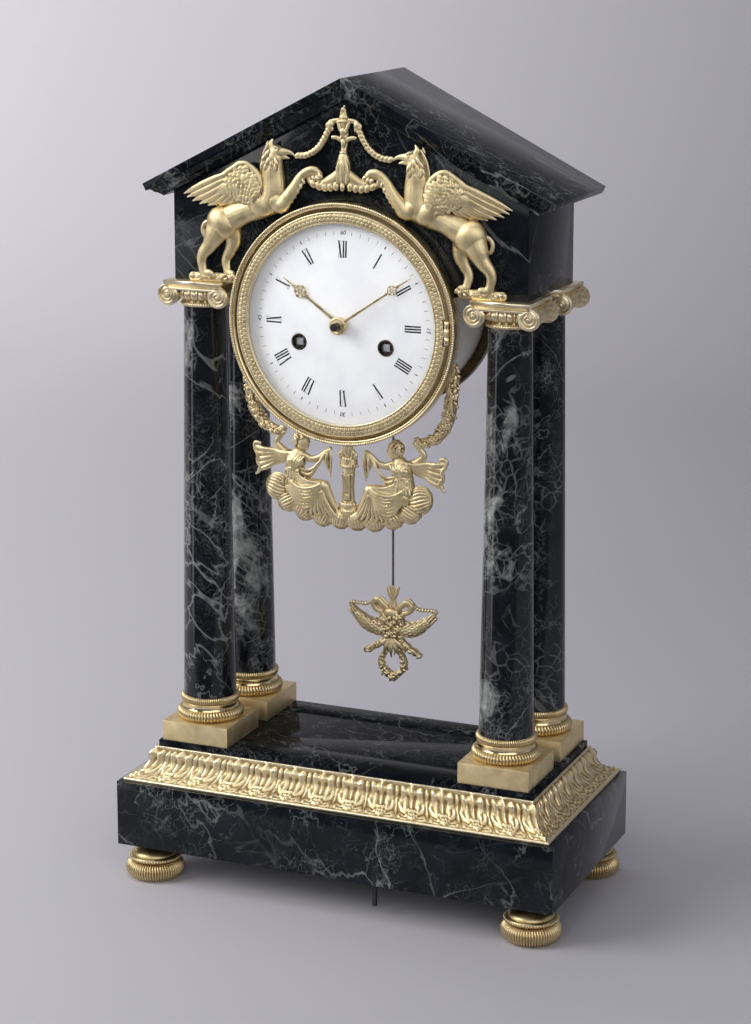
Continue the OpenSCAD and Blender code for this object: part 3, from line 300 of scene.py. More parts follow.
stone_at = stone_in.outputs["Vector"]
drift = add(veins, "ShaderNodeTexNoise", Scale=20.0, Detail=4.0)
veins.links.new(stone_at, drift.inputs["Vector"])
pushed = add(veins, "ShaderNodeVectorMath", operation="MULTIPLY_ADD")
pushed.inputs[1].default_value = (0.028, 0.028, 0.028)
veins.links.new(drift.outputs["Color"], pushed.inputs[0])
veins.links.new(stone_at, pushed.inputs[2])
warped = pushed.outputs[0]


def crack(source, turn, draw, scale, width, patch_scale, patch_low):
    """Thin lines where a drawn-out noise passes its middle, in some patches of the stone only."""
    course = noise(veins, stretched(veins, source, turn, (1, 1, draw)), scale, 5.0, 0.5)
    off = calc(veins, "ABSOLUTE", calc(veins, "SUBTRACT", course, 0.5), 0)
    patch = noise(veins, stretched(veins, stone_at, turn, (1, 1, 2)), patch_scale, 2.0)
    lines = remap(veins, off, 0.0, width, 1.0, 0.0)
    return calc(veins, "MULTIPLY", lines, remap(veins, patch, patch_low, 0.66))


vein_sum = None
for source, turn, draw, scale, width, patch_scale, patch_low, amount in (
    (stone_at, (0.3, -0.62, 0.1), 8.0, 26.0, 0.013, 9.0, 0.38, 1.0),
    (stone_at, (0.2, 1.2, 0.3), 7.0, 30.0, 0.011, 10.0, 0.42, 0.8),
    (warped, (0.5, 0.3, 0.4), 1.8, 62.0, 0.016, 20.0, 0.47, 0.65),
    (warped, (0.9, -0.2, 0.7), 1.5, 130.0, 0.024, 24.0, 0.47, 0.45),
    (warped, (0.1, 0.9, 1.1), 1.3, 230.0, 0.04, 26.0, 0.44, 0.34),
):
    line = calc(veins, "MULTIPLY", crack(source, turn, draw, scale, width, patch_scale, patch_low), amount)
    vein_sum = line if vein_sum is None else calc(veins, "ADD", vein_sum, line)
vein_sum = calc(veins, "MULTIPLY", vein_sum, stone_in.outputs["Vein Strength"])
grey = noise(veins, warped, 60.0, 6.0)
ground = mixed(veins, remap(veins, grey, 0.3, 0.72), (0.003, 0.004, 0.006, 1), (0.010, 0.013, 0.018, 1))
cloud = noise(veins, stretched(veins, warped, (0.4, 0.2, 0.5), (1.0, 1.0, 1.8)), 26.0, 9.0, 0.62)
cloud_low = calc(veins, "SUBTRACT", 0.74, calc(veins, "MULTIPLY", stone_in.outputs["Cloud Strength"], 0.24))
cloud_mask = remap(veins, cloud, cloud_low, calc(veins, "ADD", cloud_low, 0.09))
rubble = add(veins, "ShaderNodeTexVoronoi", feature="DISTANCE_TO_EDGE", Scale=125.0)
veins.links.new(warped, rubble.inputs["Vector"])
between = remap(veins, rubble.outputs["Distance"], 0.0, 0.1, 1.0, 0.0)
near_cloud = remap(veins, cloud, calc(veins, "SUBTRACT", cloud_low, 0.09), cloud_low)
net = calc(veins, "MULTIPLY", calc(veins, "MULTIPLY", between, near_cloud), 0.42)
vein_mask = calc(veins, "MINIMUM", calc(veins, "ADD", vein_sum, net), 1.0)
cloud_tone = mixed(
    veins,
    remap(veins, noise(veins, warped, 120.0, 6.0, 0.7), 0.3, 0.66),
    (0.10, 0.115, 0.115, 1),
    (0.58, 0.59, 0.58, 1),
)
clouded = mixed(veins, calc(veins, "MULTIPLY", cloud_mask, 0.85), ground, cloud_tone)
veined = mixed(veins, calc(veins, "MULTIPLY", vein_mask, 0.85), clouded, (0.27, 0.29, 0.285, 1))
veins.links.new(veined, stone_out.inputs["Color"])
veins.links.new(remap(veins, vein_mask, 0.0, 1.0, 0.1, 0.24), stone_out.inputs["Roughness"])


def marble(name, place, turn, vein, cloud_amount, ior=1.48):
    """Polished marble cut from its own part of the block, with its share of flecks and pale clouds."""
    material, tree, shader = principled(name)
    where = add(tree, "ShaderNodeTexCoord")
    cut = add(tree, "ShaderNodeMapping", Location=place, Rotation=turn)
    tree.links.new(where.outputs["Object"], cut.inputs["Vector"])
    stone = add(tree, "ShaderNodeGroup", node_tree=veins)
    stone.inputs["Vein Strength"].default_value = vein
    stone.inputs["Cloud Strength"].default_value = cloud_amount
    tree.links.new(cut.outputs["Vector"], stone.inputs["Vector"])
    tree.links.new(stone.outputs["Color"], shader.inputs["Base Color"])
    tree.links.new(stone.outputs["Roughness"], shader.inputs["Roughness"])
    shader.inputs["IOR"].default_value = ior
    return material


base = eased_copy("base_block", 0.7, "marble_base")
base_marble = marble("base_marble", (0.3, 0.1, 0.2), (0, 0, 0), 0.8, 0.0, 1.34)
dress(base, base_marble, replaced=["base_block"])
platform = eased_copy("base_platform", 0.6, "marble_platform")
platform_marble = marble("platform_marble", (0.8, 0.4, 0.1), (0.1, 0.2, 0.7), 0.7, 0.1, 1.07)
dress(platform, platform_marble, replaced=["base_platform"])

# Feet
# Four feet cast in bronze and gilded: a fat ring with upright reeds, a beaded ring and a polished dome
# on a short neck. A stud screws each one to the base.
gilding = bpy.data.node_groups.new("fire_gilding", "ShaderNodeTree")
for label, kind, value in (
    ("Vector", "NodeSocketVector", None),
    ("Cavity", "NodeSocketFloat", 0.5),
    ("Matt", "NodeSocketFloat", 0.4),
):
    socket = gilding.interface.new_socket(label, in_out="INPUT", socket_type=kind)
    if value is not None:
        socket.default_value = value
for label, kind in (
    ("Color", "NodeSocketColor"),
    ("Roughness", "NodeSocketFloat"),
    ("Height", "NodeSocketFloat"),
):
    gilding.interface.new_socket(label, in_out="OUTPUT", socket_type=kind)
gold_in = gilding.nodes.new("NodeGroupInput")
gold_out = gilding.nodes.new("NodeGroupOutput")
mottle = noise(gilding, gold_in.outputs["Vector"], 160.0, 5.0)
grain = noise(gilding, gold_in.outputs["Vector"], 1500.0, 3.0)
gold_tone = mixed(gilding, remap(gilding, mottle, 0.3, 0.7), (0.81, 0.65, 0.36, 1), (0.91, 0.77, 0.475, 1))
# Painted light: from the cavity attribute, hollows are darkened towards brown as painted shade and proud
# parts lightened towards pale gold as a painted highlight; proud parts are also a little less rough.
recess_painted_shade = remap(gilding, gold_in.outputs["Cavity"], 0.2, 0.48, 1.0, 0.0)
raised_painted_highlight = remap(gilding, gold_in.outputs["Cavity"], 0.52, 0.8)
gold_painted_shade = mixed(gilding, calc(gilding, "MULTIPLY", recess_painted_shade, 0.8), gold_tone, (0.24, 0.14, 0.045, 1))
gold_painted_highlight = mixed(gilding, calc(gilding, "MULTIPLY", raised_painted_highlight, 0.7), gold_painted_shade, (0.98, 0.88, 0.66, 1))
gilding.links.new(gold_painted_highlight, gold_out.inputs["Color"])
matt = calc(gilding, "ADD", gold_in.outputs["Matt"], remap(gilding, mottle, 0.3, 0.7, -0.05, 0.06))
matt = calc(gilding, "SUBTRACT", matt, calc(gilding, "MULTIPLY", raised_painted_highlight, 0.12))
gilding.links.new(matt, gold_out.inputs["Roughness"])
gilding.links.new(grain, gold_out.inputs["Height"])


def gilt(name, matt_amount, grain_depth, cavity=False, tone_shift=None):
    """Gilt bronze; a carved piece takes painted shade in its recesses and a painted highlight on its proud
    parts from its own cavity attribute.
    """
    material, tree, shader = principled(name)
    where = add(tree, "ShaderNodeTexCoord")
    finish = add(tree, "ShaderNodeGroup", node_tree=gilding)
    finish.inputs["Matt"].default_value = matt_amount
    tree.links.new(where.outputs["Object"], finish.inputs["Vector"])
    if cavity:
        hollow = add(tree, "ShaderNodeAttribute", attribute_name="cavity")
        tree.links.new(hollow.outputs["Fac"], finish.inputs["Cavity"])
    bump = add(tree, "ShaderNodeBump", Strength=grain_depth, Distance=0.0002)
    tree.links.new(finish.outputs["Height"], bump.inputs["Height"])
    tone = finish.outputs["Color"]
    if tone_shift is not None:
        tone = mixed(tree, 1.0, tone, tone_shift, "MULTIPLY")
    tree.links.new(tone, shader.inputs["Base Color"])
    tree.links.new(finish.outputs["Roughness"], shader.inputs["Roughness"])
    tree.links.new(bump.outputs["Normal"], shader.inputs["Normal"])
    shader.inputs["Metallic"].default_value = 1.0
    return material


# The feet and ring bases take a darker gilt, its colour multiplied down.
darker_gilt = gilt("darker_gilt", 0.44, 0.2, cavity=True, tone_shift=(0.74, 0.68, 0.56, 1))


def points_of(piece):
    """The piece's points as rows of numbers."""
    flat = np.empty(len(piece.data.vertices) * 3)
    piece.data.vertices.foreach_get("co", flat)
    return flat.reshape(-1, 3)


def move_points(piece, places):
    """Puts the piece's points at new places."""
    piece.data.vertices.foreach_set("co", np.asarray(places, dtype=float).ravel())
    piece.data.update()


def mesh_piece(name, places, faces):
    """A new piece from places in millimetres and faces, merged and facing outwards."""
    mesh = bpy.data.meshes.new(name)
    mesh.from_pydata([tuple(float(c) * MM for c in p) for p in places], [], faces)
    piece = bpy.data.objects.new(name, mesh)
    bpy.context.collection.objects.link(piece)
    only(piece)
    bpy.ops.object.mode_set(mode="EDIT")
    bpy.ops.mesh.select_all(action="SELECT")
    bpy.ops.mesh.remove_doubles(threshold=0.000005)
    bpy.ops.mesh.normals_make_consistent(inside=False)
    bpy.ops.object.mode_set(mode="OBJECT")
    bpy.ops.object.shade_smooth()
    return piece


def spun(name, outline, steps):
    """A turned piece about the upright axis, from (radius, height) points in millimetres."""
    mesh = bpy.data.meshes.new(name)
    links = [(i, i + 1) for i in range(len(outline) - 1)]
    mesh.from_pydata([(r * MM, 0, z * MM) for r, z in outline], links, [])
    piece = bpy.data.objects.new(name, mesh)
    bpy.context.collection.objects.link(piece)
    only(piece)
    bpy.ops.object.mode_set(mode="EDIT")
    bpy.ops.mesh.select_all(action="SELECT")
    bpy.ops.mesh.spin(steps=steps, angle=math.tau, center=(0, 0, 0), axis=(0, 0, 1))
    bpy.ops.mesh.select_all(action="SELECT")
    bpy.ops.mesh.remove_doubles(threshold=0.000002)
    bpy.ops.mesh.normals_make_consistent(inside=False)
    bpy.ops.object.mode_set(mode="OBJECT")
    bpy.ops.object.shade_smooth()
    return piece


def reed(piece, count, low, high, depth, least):
    """Works upright reeds into a turned piece between two heights, outside a least radius."""
    places = points_of(piece)
    radius = np.hypot(places[:, 0], places[:, 1])
    angle = np.arctan2(places[:, 1], places[:, 0])
    inside = (places[:, 2] > low * MM) & (places[:, 2] < high * MM) & (radius > least * MM)
    wave = (np.abs(np.cos(angle * count / 2)) - 1) * depth * MM
    scale = np.where(inside, (radius + wave) / np.maximum(radius, 1e-6), 1.0)
    places[:, 0] *= scale
    places[:, 1] *= scale
    move_points(piece, places)


def arc(r, z, size, start, end, count):
    """Points of a round, from its middle, its radius and its two angles in degrees."""
    steps = np.radians(np.linspace(start, end, count))
    return [(r + size * math.cos(t), z + size * math.sin(t)) for t in steps]


def repeated(piece, matrices, name):
    """One piece made of copies of another, each at its own place."""
    places = points_of(piece)
    faces = [tuple(f.vertices) for f in piece.data.polygons]
    smooth = [f.use_smooth for f in piece.data.polygons]
    rows = []
    all_faces = []
    for i, matrix in enumerate(matrices):
        grid = np.array(matrix)
        rows.append(places @ grid[:3, :3].T + grid[:3, 3])
        if matrix.determinant() < 0:
            all_faces += [tuple(v + i * len(places) for v in reversed(f)) for f in faces]
        else:
            all_faces += [tuple(v + i * len(places) for v in f) for f in faces]
    mesh = bpy.data.meshes.new(name)
    mesh.from_pydata([tuple(p) for p in np.vstack(rows)], [], all_faces)
    mesh.polygons.foreach_set("use_smooth", smooth * len(rows))
    copy = bpy.data.objects.new(name, mesh)
    bpy.context.collection.objects.link(copy)
    bpy.data.objects.remove(piece)
    return copy


def joined(name, *pieces):
    """Several pieces joined into the first."""
    only(pieces[0])
    for piece in pieces[1:]:
        piece.select_set(True)
    if len(pieces) > 1:
        bpy.ops.object.join()
    pieces[0].name = name
    pieces[0].data.name = name
    return pieces[0]


def bead(radius, at):
    """A small round bead with few faces, in millimetres."""
    bpy.ops.object.select_all(action="DESELECT")
    bpy.ops.mesh.primitive_uv_sphere_add(segments=8, ring_count=5, radius=radius * MM)
    piece = bpy.context.object
    piece.location = Vector(at) * MM
    bpy.ops.object.transform_apply(location=True, rotation=True, scale=True)
    bpy.ops.object.shade_smooth()
    return piece


def ring_of(piece, count, name):
    """Copies of a piece set evenly round the upright axis."""
    turns = [Matrix.Rotation(math.tau * i / count, 4, "Z") for i in range(count)]
    return repeated(piece, turns, name)


def hollows(piece, gain, passes=2):
    """Stores how hollow or proud each point is against its neighbours, in the cavity attribute, which the
    gilding uses for painted shade and highlight.
    """
    mesh = piece.data
    places = points_of(piece)
    count = len(places)
    normals = np.empty(count * 3, dtype=np.float32)
    mesh.vertex_normals.foreach_get("vector", normals)
    normals = normals.reshape(-1, 3)
    pairs = np.empty(len(mesh.edges) * 2, dtype=np.int64)
    mesh.edges.foreach_get("vertices", pairs)
    a, b = pairs.reshape(-1, 2).T
    step = places[b] - places[a]
    length = np.maximum(np.linalg.norm(step, axis=1), 1e-9)
    rise_a = np.einsum("ij,ij->i", step, normals[a]) / length
    rise_b = -np.einsum("ij,ij->i", step, normals[b]) / length
    links = np.maximum(np.bincount(a, minlength=count) + np.bincount(b, minlength=count), 1)
    value = np.bincount(a, rise_a, count) + np.bincount(b, rise_b, count)
    value = value / links
    for _ in range(passes):
        near = np.bincount(a, value[b], count) + np.bincount(b, value[a], count)
        value = 0.4 * value + 0.6 * near / links
    shade = np.clip(0.5 - gain * value, 0, 1)
    layer = mesh.attributes.new("cavity", "FLOAT", "POINT")
    layer.data.foreach_set("value", shade.astype(np.float32))


def place_at(x, y, z=0.0):
    """The matrix of a place in millimetres."""
    return Matrix.Translation(Vector((x, y, z)) * MM)


foot_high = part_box("feet")[1]
FOOT_R = 19.3
foot_x = foot_high[0] / MM - FOOT_R
foot_y = foot_high[1] / MM - FOOT_R
foot_outline = [(0, 0), (13, 0)] + arc(13.06, 6.24, 6.24, -84, 84, 15) + [(14.2, 12.48), (15.3, 12.5)]
foot_outline += arc(15.3, 14.04, 1.5, -80, 80, 5) + [(14.8, 15.6)]
dome_turns = np.radians(np.arange(8, 91, 9))
foot_outline += [(4.2 + 10.6 * math.cos(t), 15.6 + 4.8 * math.sin(t)) for t in dome_turns]
foot_outline += [(4.2, 24), (0, 24)]
foot = spun("foot", foot_outline, 384)
reed(foot, 64, 0.4, 12.3, 1.1, least=9)
beads = ring_of(bead(0.95, (16.6, 0, 14.04)), 58, "foot_beads")
foot = joined("foot", foot, beads)
foot_places = [place_at(sx * foot_x, sy * foot_y) for sx in (-1, 1) for sy in (-1, 1)]
feet = repeated(foot, foot_places, "gilt_feet")
hollows(feet, 3.4)
dress(feet, darker_gilt, replaced=["feet"])

# Leaf frieze
# A hollow moulding round the platform, cast in four mitred lengths and chased: broad shell-like leaves
# with curled tips, a bunch of berries at each foot, and a thin stalk with a bud between the leaves.
frieze_low, frieze_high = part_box("leaf_frieze")
FRIEZE_SPREAD = 17.4
FRIEZE_H = 21.0
HOLLOW_WIDE = 13.6
HOLLOW_TALL = 17.0
LONG_SIDE_LEAVES = 13
SHORT_SIDE_LEAVES = 6
frieze_z = frieze_low[2] / MM
frieze_half = (frieze_high[0] / MM - FRIEZE_SPREAD, frieze_high[1] / MM - FRIEZE_SPREAD)


def smooth(low, high, x):
    """Zero below low, one above high, and a soft step between."""
    t = np.clip((x - low) / (high - low), 0, 1)
    return t * t * (3 - 2 * t)


def blob(p, q, at_p, at_q, wide, tall):
    """A round boss of height one."""
    return np.sqrt(np.clip(1 - ((p - at_p) / wide) ** 2 - ((q - at_q) / tall) ** 2, 0, 1))


def leaf_relief(p, q):
    """Height of the frieze's leaf work in millimetres; p runs along it in leaves, q from foot to top."""
    p = np.abs(p - np.round(p))
    fan = np.arctan2(q - 0.05, p * 1.1 + 1e-6)
    reach = ((p / 0.43) ** 4 + (np.abs(q - 0.48) / 0.5) ** 4) ** 0.25
    edge = 1 + 0.07 * np.cos(fan * 16)
    inside = 1 - smooth(edge - 0.1, edge, reach)
    rib = 0.5 + 0.5 * np.cos(fan * 16)
    leaf = inside * (0.5 + 0.9 * rib * smooth(0.1, 0.6, np.hypot(p / 0.43, q)))
    leaf += inside * 1.5 * np.exp(-(((q - 0.85) / 0.1) ** 2)) * (1 - (p / 0.45) ** 2)
    leaf += inside * 0.8 * np.exp(-((p / 0.03) ** 2)) * smooth(0.3, 0.5, q)
    stalk = 1.3 * np.exp(-(((p - 0.5) / 0.03) ** 2)) * (1 - smooth(0.7, 0.78, q))
    bud = 2.0 * blob(p, q, 0.5, 0.82, 0.07, 0.13)
    side = 1.9 * blob(p - 0.3 * (q - 0.4), q, 0.2, 0.42, 0.06, 0.16)
    curl = 1.6 * blob(p, q, 0.4, 0.14, 0.08, 0.1)
    height = np.maximum.reduce([leaf, stalk, bud, side, curl])
    berries = ((0.0, 0.1), (0.085, 0.13), (0.0, 0.23), (0.08, 0.26), (0.16, 0.2), (0.03, 0.36), (0.1, 0.38))
    for at_p, at_q in berries:
        height = np.maximum(height, 2.5 * blob(p, q, at_p, at_q, 0.05, 0.068))
    return height


def frieze_side(half_l, half_w, leaves, turn):
    """Places and faces of one mitred length of the frieze."""
    across = np.linspace(0, leaves, leaves * 32 + 1)
    rise = np.linspace(0, 1, 33)
    angle = np.radians(90 * rise)
    out = 15.3 - HOLLOW_WIDE * np.sin(angle)
    up = 19.5 - HOLLOW_TALL * np.cos(angle)
    lean_out = np.sin(angle) * HOLLOW_TALL
    lean_up = np.cos(angle) * HOLLOW_WIDE
    length = np.hypot(lean_out, lean_up)
    grid_p, grid_q = np.meshgrid(across, rise, indexing="ij")
    height = leaf_relief(grid_p, grid_q) * smooth(0.0, 0.05, grid_q) - 0.6
    reach = out + height * (lean_out / length)
    lift = up + height * (lean_up / length)
    reach = np.clip(reach, 1.0, FRIEZE_SPREAD - 0.8)
    ones = np.ones((len(across), 1))
    reach = np.hstack([0 * ones, FRIEZE_SPREAD * ones, FRIEZE_SPREAD * ones, reach, 1.9 * ones, 0 * ones])
    top = FRIEZE_H * ones
    lift = np.hstack([0 * ones, 0 * ones, 2.3 * ones, np.minimum(lift, 20.8), top, top])
    along = (2 * across / leaves - 1)[:, None] * (half_l + reach)
    outward = -(half_w + reach)
    c, s = math.cos(turn), math.sin(turn)
    places = np.stack([c * along - s * outward, s * along + c * outward, lift + frieze_z], axis=-1)
    rows = reach.shape[1]
    faces = []
    for i in range(len(across) - 1):
        for k in range(rows):
            n = (k + 1) % rows
            faces.append((i * rows + k, (i + 1) * rows + k, (i + 1) * rows + n, i * rows + n))
    return places.reshape(-1, 3), faces


frieze_places = []
frieze_faces = []
for turn in range(4):
    ends = frieze_half if turn % 2 == 0 else frieze_half[::-1]
    leaves = LONG_SIDE_LEAVES if turn % 2 == 0 else SHORT_SIDE_LEAVES
    side_places, side_faces = frieze_side(ends[0], ends[1], leaves, turn * math.pi / 2)
    start = sum(len(p) for p in frieze_places)
    frieze_places.append(side_places)
    frieze_faces += [tuple(v + start for v in f) for f in side_faces]
matt_gilt = gilt("matt_gilt", 0.46, 0.3, cavity=True)
frieze = mesh_piece("gilt_frieze", np.vstack(frieze_places), frieze_faces)
hollows(frieze, 2.8)
dress(frieze, matt_gilt, replaced=["leaf_frieze"])

# Plinths and ring bases
# Each column stands on a plain brass block with eased edges, and on a gilt ring turned with a reeded
# round, a polished fillet and a beaded round.
plinths = eased_copy("plinths", 0.5, "brass_plinths")
dress(plinths, gilt("satin_brass", 0.52, 0.12), replaced=["plinths"])
COLUMN_X = 103.2
COLUMN_Y = 29.9
each_column = [(sx * COLUMN_X, sy * COLUMN_Y) for sx in (-1, 1) for sy in (-1, 1)]
ring_outline = [(3.3, 0)] + arc(18.5, 3.5, 3.5, -88, 88, 11) + [(18.6, 7.1)]
ring_outline += [(18.0 + 0.5 * (t - 0.5) ** 2 * 4, 7.1 + 3.8 * t) for t in np.linspace(0.1, 0.9, 5)]
ring_outline += [(18.6, 11)] + arc(16.9, 13.5, 2.4, -88, 88, 9) + [(3.3, 16)]
ring = spun("ring_base", ring_outline, 512)
reed(ring, 64, 0.2, 6.9, 0.9, least=18)
reed(ring, 86, 11.2, 15.9, 0.75, least=16.4)
ring_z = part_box("column_bases")[0][2] / MM
bases = repeated(ring, [place_at(x, y, ring_z) for x, y in each_column], "gilt_ring_bases")
hollows(bases, 3.4)
dress(bases, darker_gilt, replaced=["column_bases"])
bright_gilt = gilt("bright_gilt", 0.2, 0.05)
bases.data.materials.append(bright_gilt)
for face in bases.data.polygons:
    height = face.center.z / MM - ring_z
    face.material_index = 1 if 7.1 < height < 11 and face.normal.z < 0.9 else 0

# Columns
# Four turned marble shafts that taper upwards. Each comes from another part of the block, so that some
# have large pale clouds and others only fine veins.
for label, vein, clouds, seed in (
    ("front_left", 0.9, 0.5, 1.7),
    ("front_right", 0.9, 0.95, 4.2),
    ("rear_left", 0.8, 1.02, 2.1),
    ("rear_right", 0.9, 0.6, 6.4),
):
    shaft = eased_copy("column_" + label, 0, "marble_shaft_" + label)
    shaft_marble = marble("shaft_marble_" + label, (seed, seed * 0.7, 0.2), (0.2, 0.3, 0), vein, clouds)
    dress(shaft, shaft_marble, replaced=["column_" + label])

# Capitals
# Four Ionic capitals, cast and chased: scroll bolsters with leaves at the sides, spiral volutes front
# and back, an egg moulding between them, a moulded top plate and a beaded neck.
VOLUTE_R = 7.2
VOLUTE_X = 17.5
VOLUTE_FACE = 18.0


def tube(name, points):
    """A mesh tube along (x, y, z, radius) points in millimetres, rounded off between them."""
    curve = bpy.data.curves.new(name, "CURVE")
    curve.dimensions = "3D"
    curve.bevel_depth = MM
    curve.bevel_resolution = 2
    curve.use_fill_caps = True
    curve.resolution_u = 5
    spline = curve.splines.new("BEZIER")
    spline.bezier_points.add(len(points) - 1)
    for knot, (x, y, z, r) in zip(spline.bezier_points, points):
        knot.co = Vector((x, y, z)) * MM
        knot.radius = r
        knot.handle_left_type = knot.handle_right_type = "AUTO"
    piece = bpy.data.objects.new(name, curve)
    bpy.context.collection.objects.link(piece)
    only(piece)
    bpy.ops.object.convert(target="MESH")
    piece = bpy.context.object
    piece.name = name
    bpy.ops.object.shade_smooth()
    return piece


bolster_outline = [(0.01, -VOLUTE_FACE)]
bolster_outline += [(VOLUTE_R - 0.6, -VOLUTE_FACE + 0.1), (VOLUTE_R, -VOLUTE_FACE + 0.8)]
for t in np.linspace(-1, 1, 31):
    bolster_outline.append((VOLUTE_R - 2.4 * (1 - t * t) ** 1.2, t * (VOLUTE_FACE - 1.2)))
bolster_outline += [(VOLUTE_R, VOLUTE_FACE - 0.8), (VOLUTE_R - 0.6, VOLUTE_FACE - 0.1), (0.01, VOLUTE_FACE)]
bolster = spun("bolster", bolster_outline, 60)
places = points_of(bolster)
turn_at = np.arctan2(places[:, 1], places[:, 0])
span = np.abs(places[:, 2]) / MM / VOLUTE_FACE
lobes = 0.45 * np.cos(turn_at * 9 + 1.5 * np.cos(span * 9))
lobes *= (1 - smooth(0.8, 0.9, span)) * smooth(0.1, 0.2, span)
band = 0.7 * np.exp(-((span / 0.07) ** 2))
grown = 1 + (lobes + band) / VOLUTE_R
places[:, 0] *= grown
places[:, 1] *= grown
move_points(bolster, places)
upright = Matrix.Rotation(math.radians(90), 4, "X")
bolsters = repeated(
    bolster,
    [place_at(s * VOLUTE_X, 0, VOLUTE_R + 0.3) @ upright for s in (-1, 1)],
    "bolsters",
)
spiral = []
for step in range(34):
    turn = step / 33
    size = 6.6 * (1 - 0.82 * turn)
    angle = math.radians(100 - 860 * turn)
    spiral.append((size * math.cos(angle), 0, size * math.sin(angle), 0.75 - 0.3 * turn))
volute = joined("volute", tube("volute", spiral), bead(1.2, (0, 0, 0)))
flip = Matrix.Diagonal((-1, 1, 1, 1))
volute_places = []
for sx in (-1, 1):
    for sy in (-1, 1):
        place = place_at(sx * VOLUTE_X, sy * (VOLUTE_FACE + 0.15), VOLUTE_R + 0.3)
        volute_places.append(place @ flip if sx < 0 else place)
volutes = repeated(volute, volute_places, "volutes")
neck_outline = [(3.3, 0), (14.8, 0)] + arc(14.6, 1.2, 1.1, -80, 80, 6)
neck_outline += [(14.4, 2.6), (14.4, 4.2)] + arc(14.5, 8.0, 3.6, -70, 80, 10) + [(14.0, 12.6), (3.3, 12.6)]
neck = spun("neck", neck_outline, 240)
reed(neck, 60, 0.1, 2.4, 0.6, least=14.4)
reed(neck, 20, 4.4, 11.8, 2.0, least=14.6)
darts = ring_of(tube("dart", [(16.9, 0, 10.6, 0.7), (17.6, 0, 8.0, 0.55), (16.2, 0, 5.0, 0.2)]), 20, "darts")
places = points_of(darts)
half_pitch = math.pi / 20
turned = np.array(Matrix.Rotation(half_pitch, 3, "Z"))
move_points(darts, places @ turned.T)
abacus_outline = [(0, 12.5), (18.1, 12.5), (18.5, 13.4), (19.1, 14.4), (19.5, 14.6), (19.5, 16.7)]
abacus_outline += [(19.2, 17), (0, 17)]
abacus = spun("abacus", abacus_outline, 4)
places = points_of(abacus)
corner = np.array(Matrix.Rotation(math.radians(45), 3, "Z")) * math.sqrt(2)
places[:, :2] = places[:, :2] @ corner[:2, :2].T
move_points(abacus, places)
only(abacus)
bpy.ops.object.shade_smooth_by_angle(angle=math.radians(30))
cushions = [tube("cushion", [(-17, y, 11.6, 1.0), (17, y, 11.6, 1.0)]) for y in (-17.6, 17.6)]
capital = joined("capital", neck, bolsters, volutes, darts, abacus, *cushions)
capital_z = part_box("capitals")[0][2] / MM
capitals = repeated(capital, [place_at(x, y, capital_z) for x, y in each_column], "gilt_capitals")
hollows(capitals, 2.0)
dress(capitals, matt_gilt, replaced=["capitals"])

# Pediment
# The block that joins the columns and carries the drum, and two roof slabs with a moulded edge, sawn and
# polished from the same marble. The rods in the columns hold the block down.
block = eased_copy("pediment_block", 0.5, "marble_block")
block_marble = marble("block_marble", (0.15, 0.6, 0.9), (0.3, 0.1, 0.4), 0.62, 0.1, 1.3)
dress(block, block_marble, replaced=["pediment_block"])
for side, place in (("left", (1.4, 0.2, 0.5)), ("right", (2.3, 0.9, 0.3))):
    slab = eased_copy("roof_" + side, 0.3, "marble_roof_" + side)
    slab_marble = marble("roof_marble_" + side, place, (0.2, 0.475, 0.1), 0.72, 0.55, 1.25)
    dress(slab, slab_marble, replaced=["roof_" + side])

# Drum and rear ring
# The drum is a turned brass tube, polished, that passes through the block. Its rear ring is of
# dark bronze, near black as partly painted shade for the shadow behind the drum, and carries the
# rear door on a small hinge.
DIAL_Z = 375.0


def metal(name, light, dark, rough_low, rough_high, scale, metallic=1.0):
    """A worked metal whose tone and polish vary a little over the surface."""
    material, tree, shader = principled(name)
    where = add(tree, "ShaderNodeTexCoord")
    handled = noise(tree, where.outputs["Object"], scale, 5.0)
    scratch = noise(tree, stretched(tree, where.outputs["Object"], (0, 0, 0), (14, 1, 14)), scale * 6, 3.0)
    spread = calc(tree, "ADD", calc(tree, "MULTIPLY", handled, 0.6), calc(tree, "MULTIPLY", scratch, 0.4))
    tone_shift = remap(tree, spread, 0.35, 0.65)
    tree.links.new(mixed(tree, tone_shift, dark, light), shader.inputs["Base Color"])
    tree.links.new(remap(tree, tone_shift, 0.0, 1.0, rough_high, rough_low), shader.inputs["Roughness"])
    bump = add(tree, "ShaderNodeBump", Strength=0.06, Distance=0.0001)
    tree.links.new(scratch, bump.inputs["Height"])
    tree.links.new(bump.outputs["Normal"], shader.inputs["Normal"])
    shader.inputs["Metallic"].default_value = metallic
    return material


polished_brass = metal("polished_brass", (0.96, 0.94, 0.89, 1), (0.86, 0.82, 0.74, 1), 0.45, 0.6, 90.0, 0.75)
# Near-black bronze: partly painted shade, for the shadow on the rear ring and inside the winding holes.
dark_bronze_painted_shade = metal("dark_bronze_painted_shade", (0.13, 0.10, 0.06, 1), (0.06, 0.045, 0.03, 1), 0.3, 0.45, 120.0)
drum = eased_copy("drum_case", 0.2, "polished_drum")
dress(drum, polished_brass, replaced=["drum_case"])
rear_ring = eased_copy("rear_ring", 0.3, "bronze_rear_ring")
dress(rear_ring, dark_bronze_painted_shade, replaced=["rear_ring"])
rear_door = eased_copy("rear_door", 0.3, "brass_rear_door")
dress(rear_door, polished_brass, body="rear_door", replaced=["rear_door"])

# Fixed bezel
# A turned and gilded ring in front of the block: a rope twist at the rim and a plain hollow down to the
# seat of the hinged bezel. It carries the two outer barrels of that bezel's hinge.
face_on = Matrix.Translation((0, 0, DIAL_Z * MM)) @ Matrix.Rotation(math.radians(90), 4, "X")


def face_front(piece):
    """Turns a piece that was turned upright so that its top looks out of the dial's face."""
    piece.data.transform(face_on)
    piece.data.update()
    return piece


